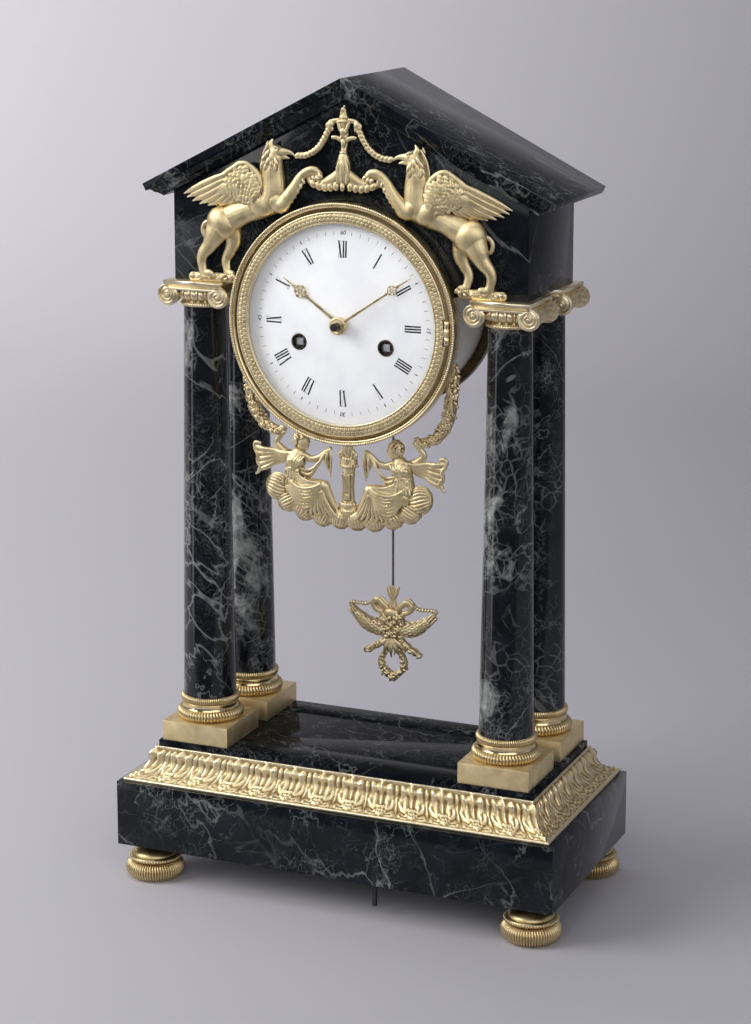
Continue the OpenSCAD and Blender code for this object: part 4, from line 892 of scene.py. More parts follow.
HINGE_X = 70.3
HINGE_Y = -51.9
ROPE_R = 74.5
ROPE_Z = 51.8
ROPE_STRANDS = 300
rim_outline = [(55, 41.5), (74.3, 41.5), (75.2, 42.3), (75.2, 50.6)] + arc(ROPE_R, ROPE_Z, 0.9, -45, 190, 12)
rim_outline += [(73.45, 51.6), (73.2, 51.9), (72.8, 51.8), (72.3, 51.3), (71.8, 50.6), (71.4, 49.8)]
rim_outline += [(71.15, 48.9), (71.0, 47.15), (65.15, 47.1), (65.15, 44.5), (55, 44.5), (55, 41.5)]
rim = spun("gilt_fixed_bezel", rim_outline, 1500)
places = points_of(rim)
radius = np.hypot(places[:, 0], places[:, 1]) / MM
around = np.arctan2(places[:, 1], places[:, 0])
from_core = np.arctan2(places[:, 2] / MM - ROPE_Z, radius - ROPE_R)
on_rope = np.hypot(places[:, 2] / MM - ROPE_Z, radius - ROPE_R) < 1.1
twist = np.abs(np.sin((around * ROPE_STRANDS + 1.8 * from_core) / 2))
swell = np.where(on_rope, (twist - 0.9) * 0.3, 0.0)
places[:, 2] += swell * np.sin(from_core) * MM
grown = 1 + swell * np.cos(from_core) / np.maximum(radius, 1)
places[:, 0] *= grown
places[:, 1] *= grown
move_points(rim, places)
face_front(rim)


def knuckle(low, high, web_from, web_to):
    """One barrel of the bezel's hinge between two heights, with the web that carries it."""
    barrel = [
        (0.66, low),
        (1.35, low),
        (1.5, low + 0.15),
        (1.5, high - 0.15),
        (1.35, high),
        (0.66, high),
        (0.66, low),
    ]
    round_part = spun("knuckle", barrel, 32)
    round_part.data.transform(Matrix.Translation(Vector((HINGE_X, HINGE_Y, DIAL_Z)) * MM))
    middle = [(a + b) / 2 for a, b in zip(web_from, web_to)]
    bpy.ops.object.select_all(action="DESELECT")
    bpy.ops.mesh.primitive_cube_add(size=MM)
    web = bpy.context.object
    web.scale = (web_to[0] - web_from[0], web_to[1] - web_from[1], high - low)
    web.location = Vector((middle[0], middle[1], DIAL_Z + (low + high) / 2)) * MM
    bpy.ops.object.transform_apply(location=True, rotation=True, scale=True)
    return joined("knuckle", round_part, web)


upper = knuckle(2.8, 7.2, (69.4, -50.6), (71.2, -47.0))
lower = knuckle(-7.2, -2.8, (69.4, -50.6), (71.2, -47.0))
rim = joined("gilt_fixed_bezel", rim, upper, lower)
hollows(rim, 1.4)
dress(rim, gilt("rim_gilt", 0.36, 0.1, cavity=True), replaced=["bezel_ring"])

# Hinged bezel and glass
# The inner bezel swings on a hinge at the right and holds a domed glass. It is chased with a band of
# leaves between two lines of beads.
BAND_R = 63.6
BAND_WIDE = 5.3
BAND_LEAVES = 144
SEAT_R = 68.15
OUTER_LINE_R = 69.35
sash_outline = [(62.5, 50.3), (62.5, 52.4), (62.7, 52.6), (63.3, 52.6)]
sash_outline += [(BAND_R + BAND_WIDE * t, 52.6 + 0.3 * math.sin(math.pi * t)) for t in np.linspace(0, 1, 19)]
sash_outline += [(69.2, 52.6), (69.7, 52.5), (69.95, 52.2), (69.95, 50.8), (SEAT_R, 50.6), (SEAT_R, 47.5)]
sash_outline += [(66.1, 47.5), (66.1, 50.3), (62.5, 50.3)]
sash = spun("sash", sash_outline, 1440)
places = points_of(sash)
radius = np.hypot(places[:, 0], places[:, 1]) / MM
around = np.arctan2(places[:, 1], places[:, 0])
across = (radius - BAND_R) / BAND_WIDE
leafy = (across > 0.01) & (across < 0.99) & (places[:, 2] > 52.5 * MM)
row = np.where(across > 0.5, 0.5, 0.0)
from_rib = np.abs((around * BAND_LEAVES / math.tau + row) % 1.0 * 2 - 1)
leaf_edge = 0.95 * np.sin(np.clip(across * 2 - 2 * row, 0, 1) * math.pi) ** 0.6
on_leaf = np.clip((leaf_edge - from_rib) / 0.4, 0, 1)
rib = np.clip(1 - from_rib / 0.3, 0, 1)
relief = 0.23 * on_leaf - 0.12 * rib * on_leaf - 0.18
places[:, 2] += np.where(leafy, relief * MM, 0)
at_hinge = (np.abs(around) < math.radians(6.8)) & (radius > SEAT_R)
inward = np.where(at_hinge, SEAT_R / np.maximum(radius, 1), 1.0)
places[:, 0] *= inward
places[:, 1] *= inward
move_points(sash, places)
outer_line = ring_of(bead(0.3, (OUTER_LINE_R, 0, 52.55)), 360, "outer_line")
inner_line = ring_of(bead(0.3, (63.05, 0, 52.6)), 330, "inner_line")
beyond = points_of(outer_line)
turn_to = np.arctan2(beyond[:, 1], beyond[:, 0])
by_hinge = np.abs(turn_to) < math.radians(7.2)
beyond[by_hinge, 2] = 52 * MM
beyond[by_hinge, :2] *= 67.6 / OUTER_LINE_R
move_points(outer_line, beyond)
sash = joined("gilt_hinged_bezel", sash, outer_line, inner_line)
face_front(sash)
sash = joined("gilt_hinged_bezel", sash, knuckle(-2.65, 2.65, (66.6, -52.4), (69.6, -51.2)))
hollows(sash, 2.6)
dress(sash, matt_gilt, body="bezel_door", replaced=["bezel_door"])

GLASS_R = 62.2
GLASS_ROUND = 129.6
GLASS_THICK = 1.6
GLASS_CENTRE = -63.6
glass_outline = []
for t in np.linspace(0, 1, 26):
    r = GLASS_R * t
    glass_outline.append((max(r, 0.001), GLASS_CENTRE + math.sqrt(GLASS_ROUND**2 - r * r)))
for t in np.linspace(1, 0, 26):
    r = GLASS_R * t
    glass_outline.append((max(r, 0.001), GLASS_CENTRE + math.sqrt((GLASS_ROUND - GLASS_THICK) ** 2 - r * r)))
glass = face_front(spun("domed_glass", glass_outline, 96))
clear, tree, shader = principled("clear_glass")
shader.inputs["Base Color"].default_value = (1, 1, 1, 1)
shader.inputs["Transmission Weight"].default_value = 1.0
shader.inputs["IOR"].default_value = 1.06
faint = noise(tree, add(tree, "ShaderNodeTexCoord").outputs["Object"], 25.0, 3.0)
tree.links.new(remap(tree, faint, 0.3, 0.7, 0.0, 0.02), shader.inputs["Roughness"])
through = add(tree, "ShaderNodeBsdfTransparent")
ray = add(tree, "ShaderNodeLightPath")
blend = add(tree, "ShaderNodeMixShader")
tree.links.new(ray.outputs["Is Shadow Ray"], blend.inputs["Fac"])
tree.links.new(shader.outputs["BSDF"], blend.inputs[1])
tree.links.new(through.outputs["BSDF"], blend.inputs[2])
tree.links.new(blend.outputs["Shader"], tree.nodes["Material Output"].inputs["Surface"])
dress(glass, clear, body="bezel_door", replaced=["dial_glass"])

# Dial
# A domed plate of white enamel on copper, fired with black numerals, a ring of minute marks and small
# figures at the quarters. Two collets line the winding holes, coloured near black as painted shade for the
# dark inside the holes.
enamel, tree, shader = principled("white_enamel")
where = add(tree, "ShaderNodeTexCoord")
milky = remap(tree, noise(tree, where.outputs["Object"], 40.0, 4.0), 0.35, 0.65)
tree.links.new(mixed(tree, milky, (0.72, 0.73, 0.77, 1), (0.78, 0.79, 0.82, 1)), shader.inputs["Base Color"])
tree.links.new(remap(tree, milky, 0.0, 1.0, 0.2, 0.12), shader.inputs["Roughness"])
shader.inputs["Coat Weight"].default_value = 0.5
shader.inputs["Coat Roughness"].default_value = 0.05
dial = eased_copy("dial", 0, "enamel_dial")
dress(dial, enamel, replaced=["dial"])
DIAL_R = 65.0
DIAL_RISE = 3.0
DIAL_FRONT = -49.0
DIAL_ROUND = (DIAL_R**2 + DIAL_RISE**2) / (2 * DIAL_RISE)


def on_dial(places, lift):
    """Flat places (right, up) in millimetres laid on the dial's domed front."""
    rows = []
    for x, z in places:
        front = DIAL_FRONT + DIAL_ROUND - math.sqrt(DIAL_ROUND**2 - x * x - z * z)
        rows.append((x, front - lift, DIAL_Z + z))
    return rows


def stroke(start, end, width_start, width_end):
    """One straight pen stroke as four corners."""
    a, b = Vector(start), Vector(end)
    side = Vector((a.y - b.y, b.x - a.x)).normalized()
    at_start = side * width_start / 2
    at_end = side * width_end / 2
    return [a + at_start, a - at_start, b - at_end, b + at_end]


NUMERAL_LOW = 41.4
NUMERAL_HIGH = 51.6
WIDTHS = {"I": 1.65, "V": 3.3, "X": 3.1}


def numeral(word):
    """Pen strokes of a Roman numeral, right and outward from its middle."""
    strokes = []
    total = sum(WIDTHS[c] for c in word)
    x = -total / 2
    low, high = NUMERAL_LOW, NUMERAL_HIGH
    for letter in word:
        wide = WIDTHS[letter]
        mid = x + wide / 2
        if letter == "I":
            strokes.append(stroke((mid, low), (mid, high), 0.95, 0.95))
        elif letter == "V":
            strokes.append(stroke((x + 0.7, high), (mid + 0.1, low), 1.0, 0.9))
            strokes.append(stroke((x + wide - 0.4, high), (mid, low), 0.13, 0.13))
        else:
            strokes.append(stroke((x + 0.7, high), (x + wide - 0.7, low), 1.0, 1.0))
            strokes.append(stroke((x + wide - 0.4, high), (x + 0.4, low), 0.13, 0.13))
        x += wide
    for level in (low, high):
        strokes.append(stroke((-total / 2 + 0.2, level), (total / 2 - 0.2, level), 0.13, 0.13))
    return strokes


MARK_LOW = 54.8
MARK_HIGH = 57.4
QUARTER_R = 56.4
HOURS = ["XII", "I", "II", "III", "IIII", "V", "VI", "VII", "VIII", "IX", "X", "XI"]
ink_places = []
ink_faces = []


def ink(corners, angle, lift=0.05):
    """Lays one stroke on the dial, turned clockwise from twelve."""
    c, s = math.cos(angle), math.sin(angle)
    start = len(ink_places)
    laid = on_dial([(p[0] * c + p[1] * s, p[1] * c - p[0] * s) for p in corners], lift)
    ink_places.extend(laid)
    ink_places.extend([(x, y + 0.12, z) for x, y, z in laid])
    count = len(corners)
    ink_faces.append(tuple(start + i for i in range(count)))
    ink_faces.append(tuple(start + count + i for i in reversed(range(count))))
    for i in range(count):
        n = (i + 1) % count
        ink_faces.append((start + i, start + count + i, start + count + n, start + n))


for hour, word in enumerate(HOURS):
    for layer, corners in enumerate(numeral(word)):
        ink(corners, math.radians(30 * hour), 0.05 + 0.004 * layer)
for minute in range(60):
    turn = math.radians(6 * minute)
    if minute % 5:
        ink(stroke((0, MARK_LOW), (0, MARK_HIGH), 0.22, 0.22), turn)
    elif minute % 15:
        ink([(0, 54.6), (0.42, 56.1), (0, 57.6), (-0.42, 56.1)], turn)
mesh = bpy.data.meshes.new("dial_numerals")
mesh.from_pydata([tuple(c * MM for c in p) for p in ink_places], [], ink_faces)
numerals = bpy.data.objects.new("dial_numerals", mesh)
bpy.context.collection.objects.link(numerals)
quarters = []
for label, angle in (("60", 0), ("15", 90), ("30", 180), ("45", 270)):
    bpy.ops.object.select_all(action="DESELECT")
    bpy.ops.object.text_add()
    figure = bpy.context.object
    figure.data.body = label
    figure.data.size = 3.8 * MM
    figure.data.shear = 0.25
    figure.data.align_x = "CENTER"
    figure.data.align_y = "CENTER"
    figure.data.extrude = 0.03 * MM
    bpy.ops.object.convert(target="MESH")
    figure = bpy.context.object
    turn = math.radians(angle)
    x, z = QUARTER_R * math.sin(turn), QUARTER_R * math.cos(turn)
    spot = on_dial([(x, z)], 0.06)[0]
    figure.data.transform(
        Matrix.Translation(Vector(spot) * MM)
        @ Matrix.Rotation(turn, 4, "Y")
        @ Matrix.Rotation(math.radians(90), 4, "X")
    )
    quarters.append(figure)
numerals = joined("dial_numerals", numerals, *quarters)
black_enamel, tree, shader = principled("black_enamel")
where = add(tree, "ShaderNodeTexCoord")
thin = remap(tree, noise(tree, where.outputs["Object"], 300.0, 4.0), 0.35, 0.7)
black_tone = mixed(tree, thin, (0.006, 0.006, 0.008, 1), (0.03, 0.03, 0.035, 1))
tree.links.new(black_tone, shader.inputs["Base Color"])
tree.links.new(remap(tree, thin, 0.0, 1.0, 0.2, 0.35), shader.inputs["Roughness"])
dress(numerals, black_enamel)
# The collets are coloured near black as painted shade for the dark inside the winding holes.
collets = eased_copy("winding_collets", 0.15, "dark_collets")
dress(collets, dark_bronze_painted_shade, replaced=["winding_collets"])

# Hands
# Two hands pierced and filed from gilt brass sheet, each with a thin spear tip and a turned boss, held
# by a small steel nut.


def sheet(name, outlines, thick):
    """A flat plate cut to closed outlines in millimetres, with inner outlines as holes."""
    curve = bpy.data.curves.new(name, "CURVE")
    curve.dimensions = "2D"
    curve.fill_mode = "BOTH"
    curve.extrude = thick / 2 * MM
    curve.bevel_depth = 0.08 * MM
    curve.bevel_resolution = 1
    for outline in outlines:
        spline = curve.splines.new("POLY")
        spline.points.add(len(outline) - 1)
        for point, (x, y) in zip(spline.points, outline):
            point.co = (x * MM, y * MM, 0, 1)
        spline.use_cyclic_u = True
    piece = bpy.data.objects.new(name, curve)
    bpy.context.collection.objects.link(piece)
    only(piece)
    bpy.ops.object.convert(target="MESH")
    piece = bpy.context.object
    piece.name = name
    bpy.ops.object.shade_smooth_by_angle(angle=math.radians(30))
    return piece


def circle(x, y, r, count):
    """Outline of a circle."""
    turns = [math.tau * i / count for i in range(count)]
    return [(x + r * math.cos(t), y + r * math.sin(t)) for t in turns]


def cut_hand(name, length, stem, eye_at, eye_r, boss_r, boss_front, boss_back, tilt, angle):
    """A hand with a pierced rosette and a needle tip, on its boss."""
    right = [(stem, 2.0), (stem * 0.62, eye_at - eye_r - 2.2), (stem * 1.3, eye_at - eye_r - 1.2)]
    right.append((stem * 0.6, eye_at - eye_r - 0.4))
    lobe = []
    for t in np.radians(np.linspace(-75, 75, 17)):
        size = eye_r * (0.93 + 0.07 * math.cos(6 * t))
        lobe.append((size * math.cos(t), eye_at + size * math.sin(t)))
    tip = [(0.5, eye_at + eye_r + 0.2), (1.1, eye_at + eye_r + 1.1), (0.4, eye_at + eye_r + 2.2)]
    tip += [(0.34, (eye_at + length) / 2 + 2), (0.3, length - 3.2), (0.08, length)]
    half = right + lobe + tip
    outline = half + [(-x, y) for x, y in reversed(half)]
    holes = [circle(0, eye_at, eye_r * 0.2, 12)]
    for step in range(6):
        turn = math.tau * (step + 0.5) / 6
        x = 0.58 * eye_r * math.cos(turn)
        y = eye_at + 0.58 * eye_r * math.sin(turn)
        holes.append(circle(x, y, eye_r * 0.26, 10))
    blade = sheet(name, [outline] + holes, 0.55)
    lean = Matrix.Rotation(math.radians(tilt), 4, "X")
    blade.data.transform(Matrix.Translation((0, 0, (-boss_front - 0.75) * MM)) @ lean.inverted())
    boss_top = -boss_front
    boss_outline = [(1.9, -boss_back), (boss_r, -boss_back), (boss_r, boss_top - 0.6)]
    boss_outline += arc(boss_r - 0.7, boss_top - 0.6, 0.6, 0, 90, 5)
    boss_outline += [(boss_r - 1.6, boss_top - 0.3), (2.6, boss_top), (1.9, boss_top)]
    boss = spun(name, boss_outline, 96)
    reed(boss, 24, boss_top - 0.5, boss_top + 0.2, 0.5, least=boss_r - 1.8)
    piece = joined(name, blade, boss)
    piece.data.transform(Matrix.Rotation(-angle, 4, "Z"))
    face_front(piece)
    only(piece)
    bpy.ops.object.shade_smooth_by_angle(angle=math.radians(35))
    return piece


MINUTE_AT = math.radians(55.5)
HOUR_AT = math.radians(304.6)
hand_gilt = gilt("hand_gilt", 0.3, 0.1)
minute_hand = cut_hand("gilt_minute_hand", 57.0, 0.85, 42.0, 3.2, 5.5, -56.2, -54.0, 5.3, MINUTE_AT)
dress(minute_hand, hand_gilt, body="minute", replaced=["minute_hand"])
hour_hand = cut_hand("gilt_hour_hand", 48.0, 1.05, 33.5, 4.2, 4.6, -51.6, -49.9, 2.6, HOUR_AT)
dress(hour_hand, hand_gilt, body="hour", replaced=["hour_hand"])

# Griffins
# Two griffins cast in relief and chased, pinned to the face of the block. Each stands on a rock, holds a
# swag in its beak and lays a paw on the middle ornament. The second is the mirror of the first.
FACE_Y = -41.5
BLOCK_Z = 395.4
RELIEF = 0.62


def tubes(name, runs):
    """Mesh tubes, one along each run of (x, y, z, radius) points in millimetres."""
    curve = bpy.data.curves.new(name, "CURVE")
    curve.dimensions = "3D"
    curve.bevel_depth = MM
    curve.bevel_resolution = 8
    curve.use_fill_caps = True
    curve.resolution_u = 6
    for run in runs:
        spline = curve.splines.new("BEZIER")
        spline.bezier_points.add(len(run) - 1)
        for knot, (x, y, z, r) in zip(spline.bezier_points, run):
            knot.co = Vector((x, y, z)) * MM
            knot.radius = r
            knot.handle_left_type = knot.handle_right_type = "AUTO"
    piece = bpy.data.objects.new(name, curve)
    bpy.context.collection.objects.link(piece)
    only(piece)
    bpy.ops.object.convert(target="MESH")
    return bpy.context.object


def eggs(name, rows):
    """Round masses: (x, y, z, half length, half depth, half width, angle of the length, lean forward)."""
    small = []
    large = []
    for x, y, z, long, deep, wide, angle, *lean in rows:
        place = Matrix.Translation(Vector((x, y, z)) * MM) @ Matrix.Rotation(-math.radians(angle), 4, "Y")
        if lean:
            place = place @ Matrix.Rotation(-math.radians(lean[0]), 4, "Z")
        place = place @ Matrix.Diagonal((long, deep, wide, 1))
        (large if max(long, deep, wide) > 2.6 else small).append(place)
    pieces = []
    for matrices, fineness in ((small, 2), (large, 4)):
        if matrices:
            bpy.ops.object.select_all(action="DESELECT")
            bpy.ops.mesh.primitive_ico_sphere_add(subdivisions=fineness, radius=MM)
            pieces.append(repeated(bpy.context.object, matrices, name))
    return joined(name, *pieces)


def remade(piece, grain, smooth_steps):
    """A piece of overlapping shapes made one skin, as in a casting."""
    only(piece)
    piece.data.remesh_voxel_size = grain * MM
    piece.data.use_remesh_fix_poles = False
    bpy.ops.object.voxel_remesh()
    apply_modifier(piece, "SMOOTH", factor=0.5, iterations=smooth_steps)
    only(piece)
    bpy.ops.object.shade_smooth()
    return piece


def cast(name, runs, masses, grain, smooth_steps, place, back=None):
    """One casting from limbs and masses: joined, made one skin, put in place and cut flat behind."""
    round_ends = [(x, y, z, r, r, r, 0) for run in runs for x, y, z, r in (run[0], run[-1])]
    piece = joined(name, tubes(name, runs), eggs(name + "_masses", masses + round_ends))
    piece.data.transform(place)
    remade(piece, grain, smooth_steps)
    if back is not None:
        bpy.ops.object.mode_set(mode="EDIT")
        bpy.ops.mesh.select_all(action="SELECT")
        bpy.ops.mesh.bisect(
            plane_co=(0, back * MM, 0), plane_no=(0, 1, 0), clear_outer=True, use_fill=True
        )
        bpy.ops.object.mode_set(mode="OBJECT")
    piece.data.materials.clear()
    only(piece)
    bpy.ops.object.shade_smooth()
    return piece


def along(points, share):
    """The place at a share of the way along a line of (x, z) points."""
    lengths = [math.dist(a, b) for a, b in zip(points, points[1:])]
    left = share * sum(lengths)
    for a, b, length in zip(points, points[1:], lengths):
        if left <= length:
            t = left / length
            return (a[0] + (b[0] - a[0]) * t, a[1] + (b[1] - a[1]) * t)
        left -= length
    return points[-1]


on_block = Matrix.Translation((0, FACE_Y * MM, BLOCK_Z * MM)) @ Matrix.Diagonal((1, RELIEF, 1, 1))
trunk = [
    (82.5, -4, 37, 10),
    (74, -5, 42, 8.2),
    (66.5, -5, 45.5, 7.2),
    (57, -5, 49, 7.8),
    (49.5, -5, 52.5, 8.4),
]
neck = [(49.5, -5, 52.5, 8.4), (47.4, -5, 61, 8.0), (47.8, -5, 71, 7.4), (47.4, -5.5, 79, 6.2)]
head = [
    (47, -5.5, 79, 6),
    (45, -6, 83.2, 4.9),
    (41.2, -6, 83.6, 2.9),
    (38, -6, 83.7, 1.8),
    (34.8, -6, 83, 1.2),
    (32.8, -6, 81.4, 0.5),
]
lower_beak = [(42, -6, 80.8, 2.2), (39, -6, 80.3, 1.2), (36.4, -6, 79.8, 0.5)]
near_ear = [(47.4, -7, 85.4, 2.5), (48.4, -7, 88.4, 1.9), (47.2, -7, 91.2, 0.5)]
far_ear = [(50.6, -4, 84, 2.2), (51.8, -4, 87, 1.5), (51.4, -4, 89.6, 0.4)]
near_leg = [(84, -6, 37, 9), (88, -8, 29, 6.9), (91, -8, 23.5, 4.9), (96.4, -8, 16, 3.6), (96.2, -8, 10, 2.9)]
near_leg += [(94.6, -8.5, 6.2, 2.8), (90.5, -9.5, 5.6, 2.6)]
far_leg = [(78, -3, 34, 7.4), (76, -3, 27, 5.4), (78, -3, 20.5, 4), (81, -3, 14.5, 3.2), (80.4, -4, 9, 2.8)]
far_leg += [(79.2, -5, 6.4, 2.7), (76.4, -6, 5.8, 2.4)]
foreleg = [
    (46, -7, 53, 6.6),
    (41.5, -8.5, 51, 5.2),
    (37.6, -9, 55, 4.4),
    (32.5, -8.5, 62, 3.6),
    (28, -8, 69, 2.9),
    (23.5, -7.5, 72.6, 2.6),
    (18.8, -7, 73, 2.7),
    (15.9, -7, 70.8, 2.5),
]
tail = [
    (91, -5, 38.5, 1.5),
    (95.2, -5, 36.6, 1.4),
    (96.6, -5, 32, 1.4),
    (94, -5, 28.6, 1.4),
    (91.4, -5, 30.6, 1.3),
]
rock = [(77, -5, 3, 3), (84, -6, 3.1, 3.1), (92, -7, 3.2, 3.2), (103.6, -6, 3, 2.9)]
wing_arm = [(57, -8, 54, 4.8), (60, -8, 60, 5.8), (65, -8, 66.5, 6.0), (68.4, -7, 70, 4.8)]
wing_spread = [
    (60, -8, 54, 4.2),
    (70, -7, 60, 6.6),
    (80, -6, 60, 6.2),
    (91, -5, 56, 3.8),
    (104, -4, 54.2, 1.2),
]
mane = [
    (50.4, -6, 88, 1.0),
    (53.6, -5.6, 82, 1.2),
    (55.4, -5.4, 74, 1.2),
    (55.8, -6, 66, 1.2),
    (56.6, -7, 60, 1.0),
]
back_of_arm = [(41, -9, 46.4, 1.0), (36.4, -10, 51.4, 1.2), (31, -10, 58.6, 1.1), (26.4, -9, 65.6, 0.9)]
griffin_limbs = [trunk, neck, head, lower_beak, near_ear, far_ear, near_leg, far_leg, foreleg, tail, rock]
griffin_limbs += [wing_arm, wing_spread, mane, back_of_arm]
griffin_masses = [
    (82.5, -6, 37.5, 11, 10, 9.8, 40),
    (56, -7.5, 50.5, 9.4, 7, 7.6, 25),
    (43.4, -10.2, 84.6, 0.9, 0.8, 0.8, 0),
    (43.8, -9.8, 86.4, 2.4, 1.2, 0.7, 20),
    (66, -8, 65.5, 9.5, 5, 7.8, 40),
    (80, -6.5, 59.5, 12, 4, 6.6, -12),
]
ruff = (
    (49.6, 77.6, -70),
    (46.8, 76.6, -88),
    (43.8, 77.4, -105),
    (52, 80, -55),
    (51, 74.6, -72),
    (47.6, 73.2, -85),
    (44.4, 74.4, -98),
    (50, 82.4, -60),
    (53, 76.2, -62),
    (47.2, 80.4, -90),
)
for x, h, angle in ruff:
    griffin_masses.append((x, -11.2, h, 2.9, 1.2, 1.3, angle, 10))
for i in range(7):
    x, h = along([(38.6, 49), (34.4, 54), (29.6, 61), (26, 66.6)], i / 6)
    griffin_masses.append((x, -9.6, h, 2.2, 1.5, 0.9, 240, 8))
for x, h in ((14.6, 70.2), (16.6, 68.6), (19.2, 68.4), (88.6, 4.8), (90.6, 3.8), (74.6, 5.0), (76.6, 3.9)):
    griffin_masses.append((x, -9.0, h, 2.0, 2.2, 1.4, 240))
wing_top = [(55.2, 60), (57, 68.2), (61.6, 73.4), (67, 75.4), (74.4, 71.6), (80.4, 67.4)]
wing_low = [(58, 50.4), (62, 50), (67, 51.6), (71.4, 53), (74, 54.4), (76.4, 56)]
griffin_limbs.append([(x, -9.8, h, 2.3) for x, h in wing_top])
scatter = random.Random(3)
for row in range(9):
    for i in range(10):
        share = (row + 0.5) / 9.4
        top = along(wing_top, share)
        low = along(wing_low, share)
        t = 0.06 + 0.09 * (i + (0.75 if row % 2 else 0.25))
        x = top[0] + (low[0] - top[0]) * t
        h = top[1] + (low[1] - top[1]) * t
        depth = -13.2 + 3.0 * (x - 56) / 26 - 1.5 * math.sin(math.pi * t)
        x += scatter.uniform(-0.5, 0.5)
        h += scatter.uniform(-0.5, 0.5)
        if 0 < row < 8 and 1 < i < 8:
            griffin_masses.append((x, depth + 4.0, h, 4.4, 3.6, 4.4, 0))
        griffin_masses.append((x, depth + 0.45, h, 2.5, 0.75, 1.7, -32 + 26 * (0.5 - t), 12))
primaries = (
    ((76.5, 69.2), (95, 61.6), (109, 54.8)),
    ((75.6, 66.4), (93, 58.6), (107, 52.6)),
    ((75, 63.6), (90.6, 55.8), (103.4, 50.4)),
    ((74.4, 60.8), (87.4, 53.6), (98.6, 48.8)),
    ((73.6, 58.2), (84, 52), (93, 48.0)),
    ((72.6, 55.8), (80.4, 51), (87, 48.2)),
    ((71.4, 53.8), (76.6, 50.8), (81.4, 49.4)),
)
for i, (start, middle, tip) in enumerate(primaries):
    depth = -9.6 + 0.45 * i
    griffin_limbs.append(
        [
            (start[0], depth - 1.0, start[1], 1.5),
            ((start[0] + middle[0]) / 2, depth - 0.6, (start[1] + middle[1]) / 2 + 0.3, 2.1),
            (middle[0], depth + 0.8, middle[1], 2.1),
            ((middle[0] + tip[0]) / 2, depth + 2.2, (middle[1] + tip[1]) / 2, 1.8),
            (tip[0], depth + 3.8, tip[1], 0.5),
        ]
    )
scatter = random.Random(5)
for i in range(60):
    spot = (scatter.uniform(76, 104), -scatter.uniform(7.4, 9.6), scatter.uniform(1.4, 5.2))
    griffin_masses.append((*spot, scatter.uniform(0.7, 1.2), 0.9, 0.8, scatter.uniform(0, 180)))
griffin = cast("gilt_griffin_right", griffin_limbs, griffin_masses, 0.4, 2, on_block, FACE_Y)
griffin_mirror = repeated(griffin.copy(), [Matrix.Diagonal((-1, 1, 1, 1))], "gilt_griffin_left")
for piece, node in ((griffin, "griffin_right"), (griffin_mirror, "griffin_left")):
    hollows(piece, 2.4, 3)
    dress(piece, matt_gilt, replaced=[node])

# Middle ornament and swags
# A bud on ribbons, a bell flower with a skirt of lobed leaves and two swags of overlapping leaves, cast
# in one and pinned to the block between the griffins.
bud = [(0, -4, 113, 0.5), (0, -4.5, 109.4, 2.0), (0, -5, 106, 3.2), (0, -4.5, 103, 2.8), (0, -4, 100, 2.6)]
stem = [(0, -4, 100, 2.4), (0, -4, 95.6, 3.0), (0, -4, 91, 2.6), (0, -5, 87, 1.9), (0, -5.5, 84, 2.2)]
bell = [(0, -5.5, 85, 1.9), (0, -6, 82.6, 3.4), (0, -6, 78.4, 4.6), (0, -6, 74, 4.6), (0, -5.5, 69, 5.0)]
ornament_limbs = [bud, stem, bell]
ornament_masses = [(0, -7, 103.8, 3.8, 1.6, 0.9, 0), (0, -7.6, 85, 2.6, 1.4, 0.8, 0)]
ornament_masses += [(0, -7.6, 97.6, 2.2, 1.6, 2.2, 0), (0, -7.4, 90.6, 1.6, 1.4, 2.6, 0)]
swag = [(8.6, 101.4), (10.8, 97), (13, 92.4), (16.4, 87.6), (20.8, 84), (25.6, 82.1), (30.6, 81.7)]
for side in (-1, 1):
    ornament_limbs += [
        [(side * 1, -5.4, 104, 1.3), (side * 4.6, -5.4, 104.2, 1.4), (side * 8.4, -5.4, 103.2, 1.6)],
        [(side * 8.4, -5.6, 103.2, 1.6), (side * 10.6, -5.6, 100.4, 1.6), (side * 8, -5.8, 98.8, 1.4)],
        [(side * 3.6, -6.2, 103, 1.1), (side * 1.8, -6.6, 98, 1.1), (side * -1.4, -6.2, 94, 1.0)],
        [(side * 1.4, -5.4, 92.2, 1.6), (side * 4.6, -5.4, 93.6, 1.3), (side * 7.4, -5.4, 93.8, 1.2)],
        [(side * 1.6, -9, 81, 0.8), (side * 3.2, -9.6, 75, 1.1), (side * 3.0, -9.4, 67.4, 1.2)],
        [
            (side * 1.6, -6, 72.4, 3.6),
            (side * 6.4, -6, 68.8, 3.6),
            (side * 12, -6, 66, 3.2),
            (side * 16, -6, 65.2, 2.7),
        ],
        [(side * 16, -6, 65.2, 2.7), (side * 18, -6, 65, 2.4), (side * 19.4, -6, 65, 2.1)],
        [
            (side * 19.4, -6, 65, 2.1),
            (side * 22.6, -6, 66.6, 1.9),
            (side * 23, -6, 69.6, 1.6),
            (side * 20.4, -6, 70.4, 1.5),
        ],
    ]
    ornament_masses.append((side * 8.8, -6.2, 101.6, 2.3, 1.8, 2.3, 0))
    for i in range(5):
        reach = 4.8 + 3.8 * i
        low = 64.2 - 0.9 * math.sin(math.pi * i / 4) + 0.2 * max(0, i - 2) ** 2
        ornament_masses.append((side * reach, -7.8, low, 2.9, 2.0, 2.15, 90 - side * (8 + 8 * i)))
        ornament_limbs.append(
            [(side * (reach * 0.72), -8.2, 69.4 - 0.6 * i, 0.7), (side * reach, -8.8, low - 0.8, 0.8)]
        )
    ornament_limbs.append([(side * x, -4, h, 1.9) for x, h in swag])
    for i in range(24):
        x, h = along(swag, i / 23)
        ahead = along(swag, min(1, i / 23 + 0.04))
        angle = math.degrees(math.atan2(ahead[1] - h, side * (ahead[0] - x) + 1e-6)) + (36 if i % 2 else -36)
        ornament_masses.append((side * x, -5.4 - 0.4 * (i % 2), h, 2.7, 1.8, 1.8, angle, 12))
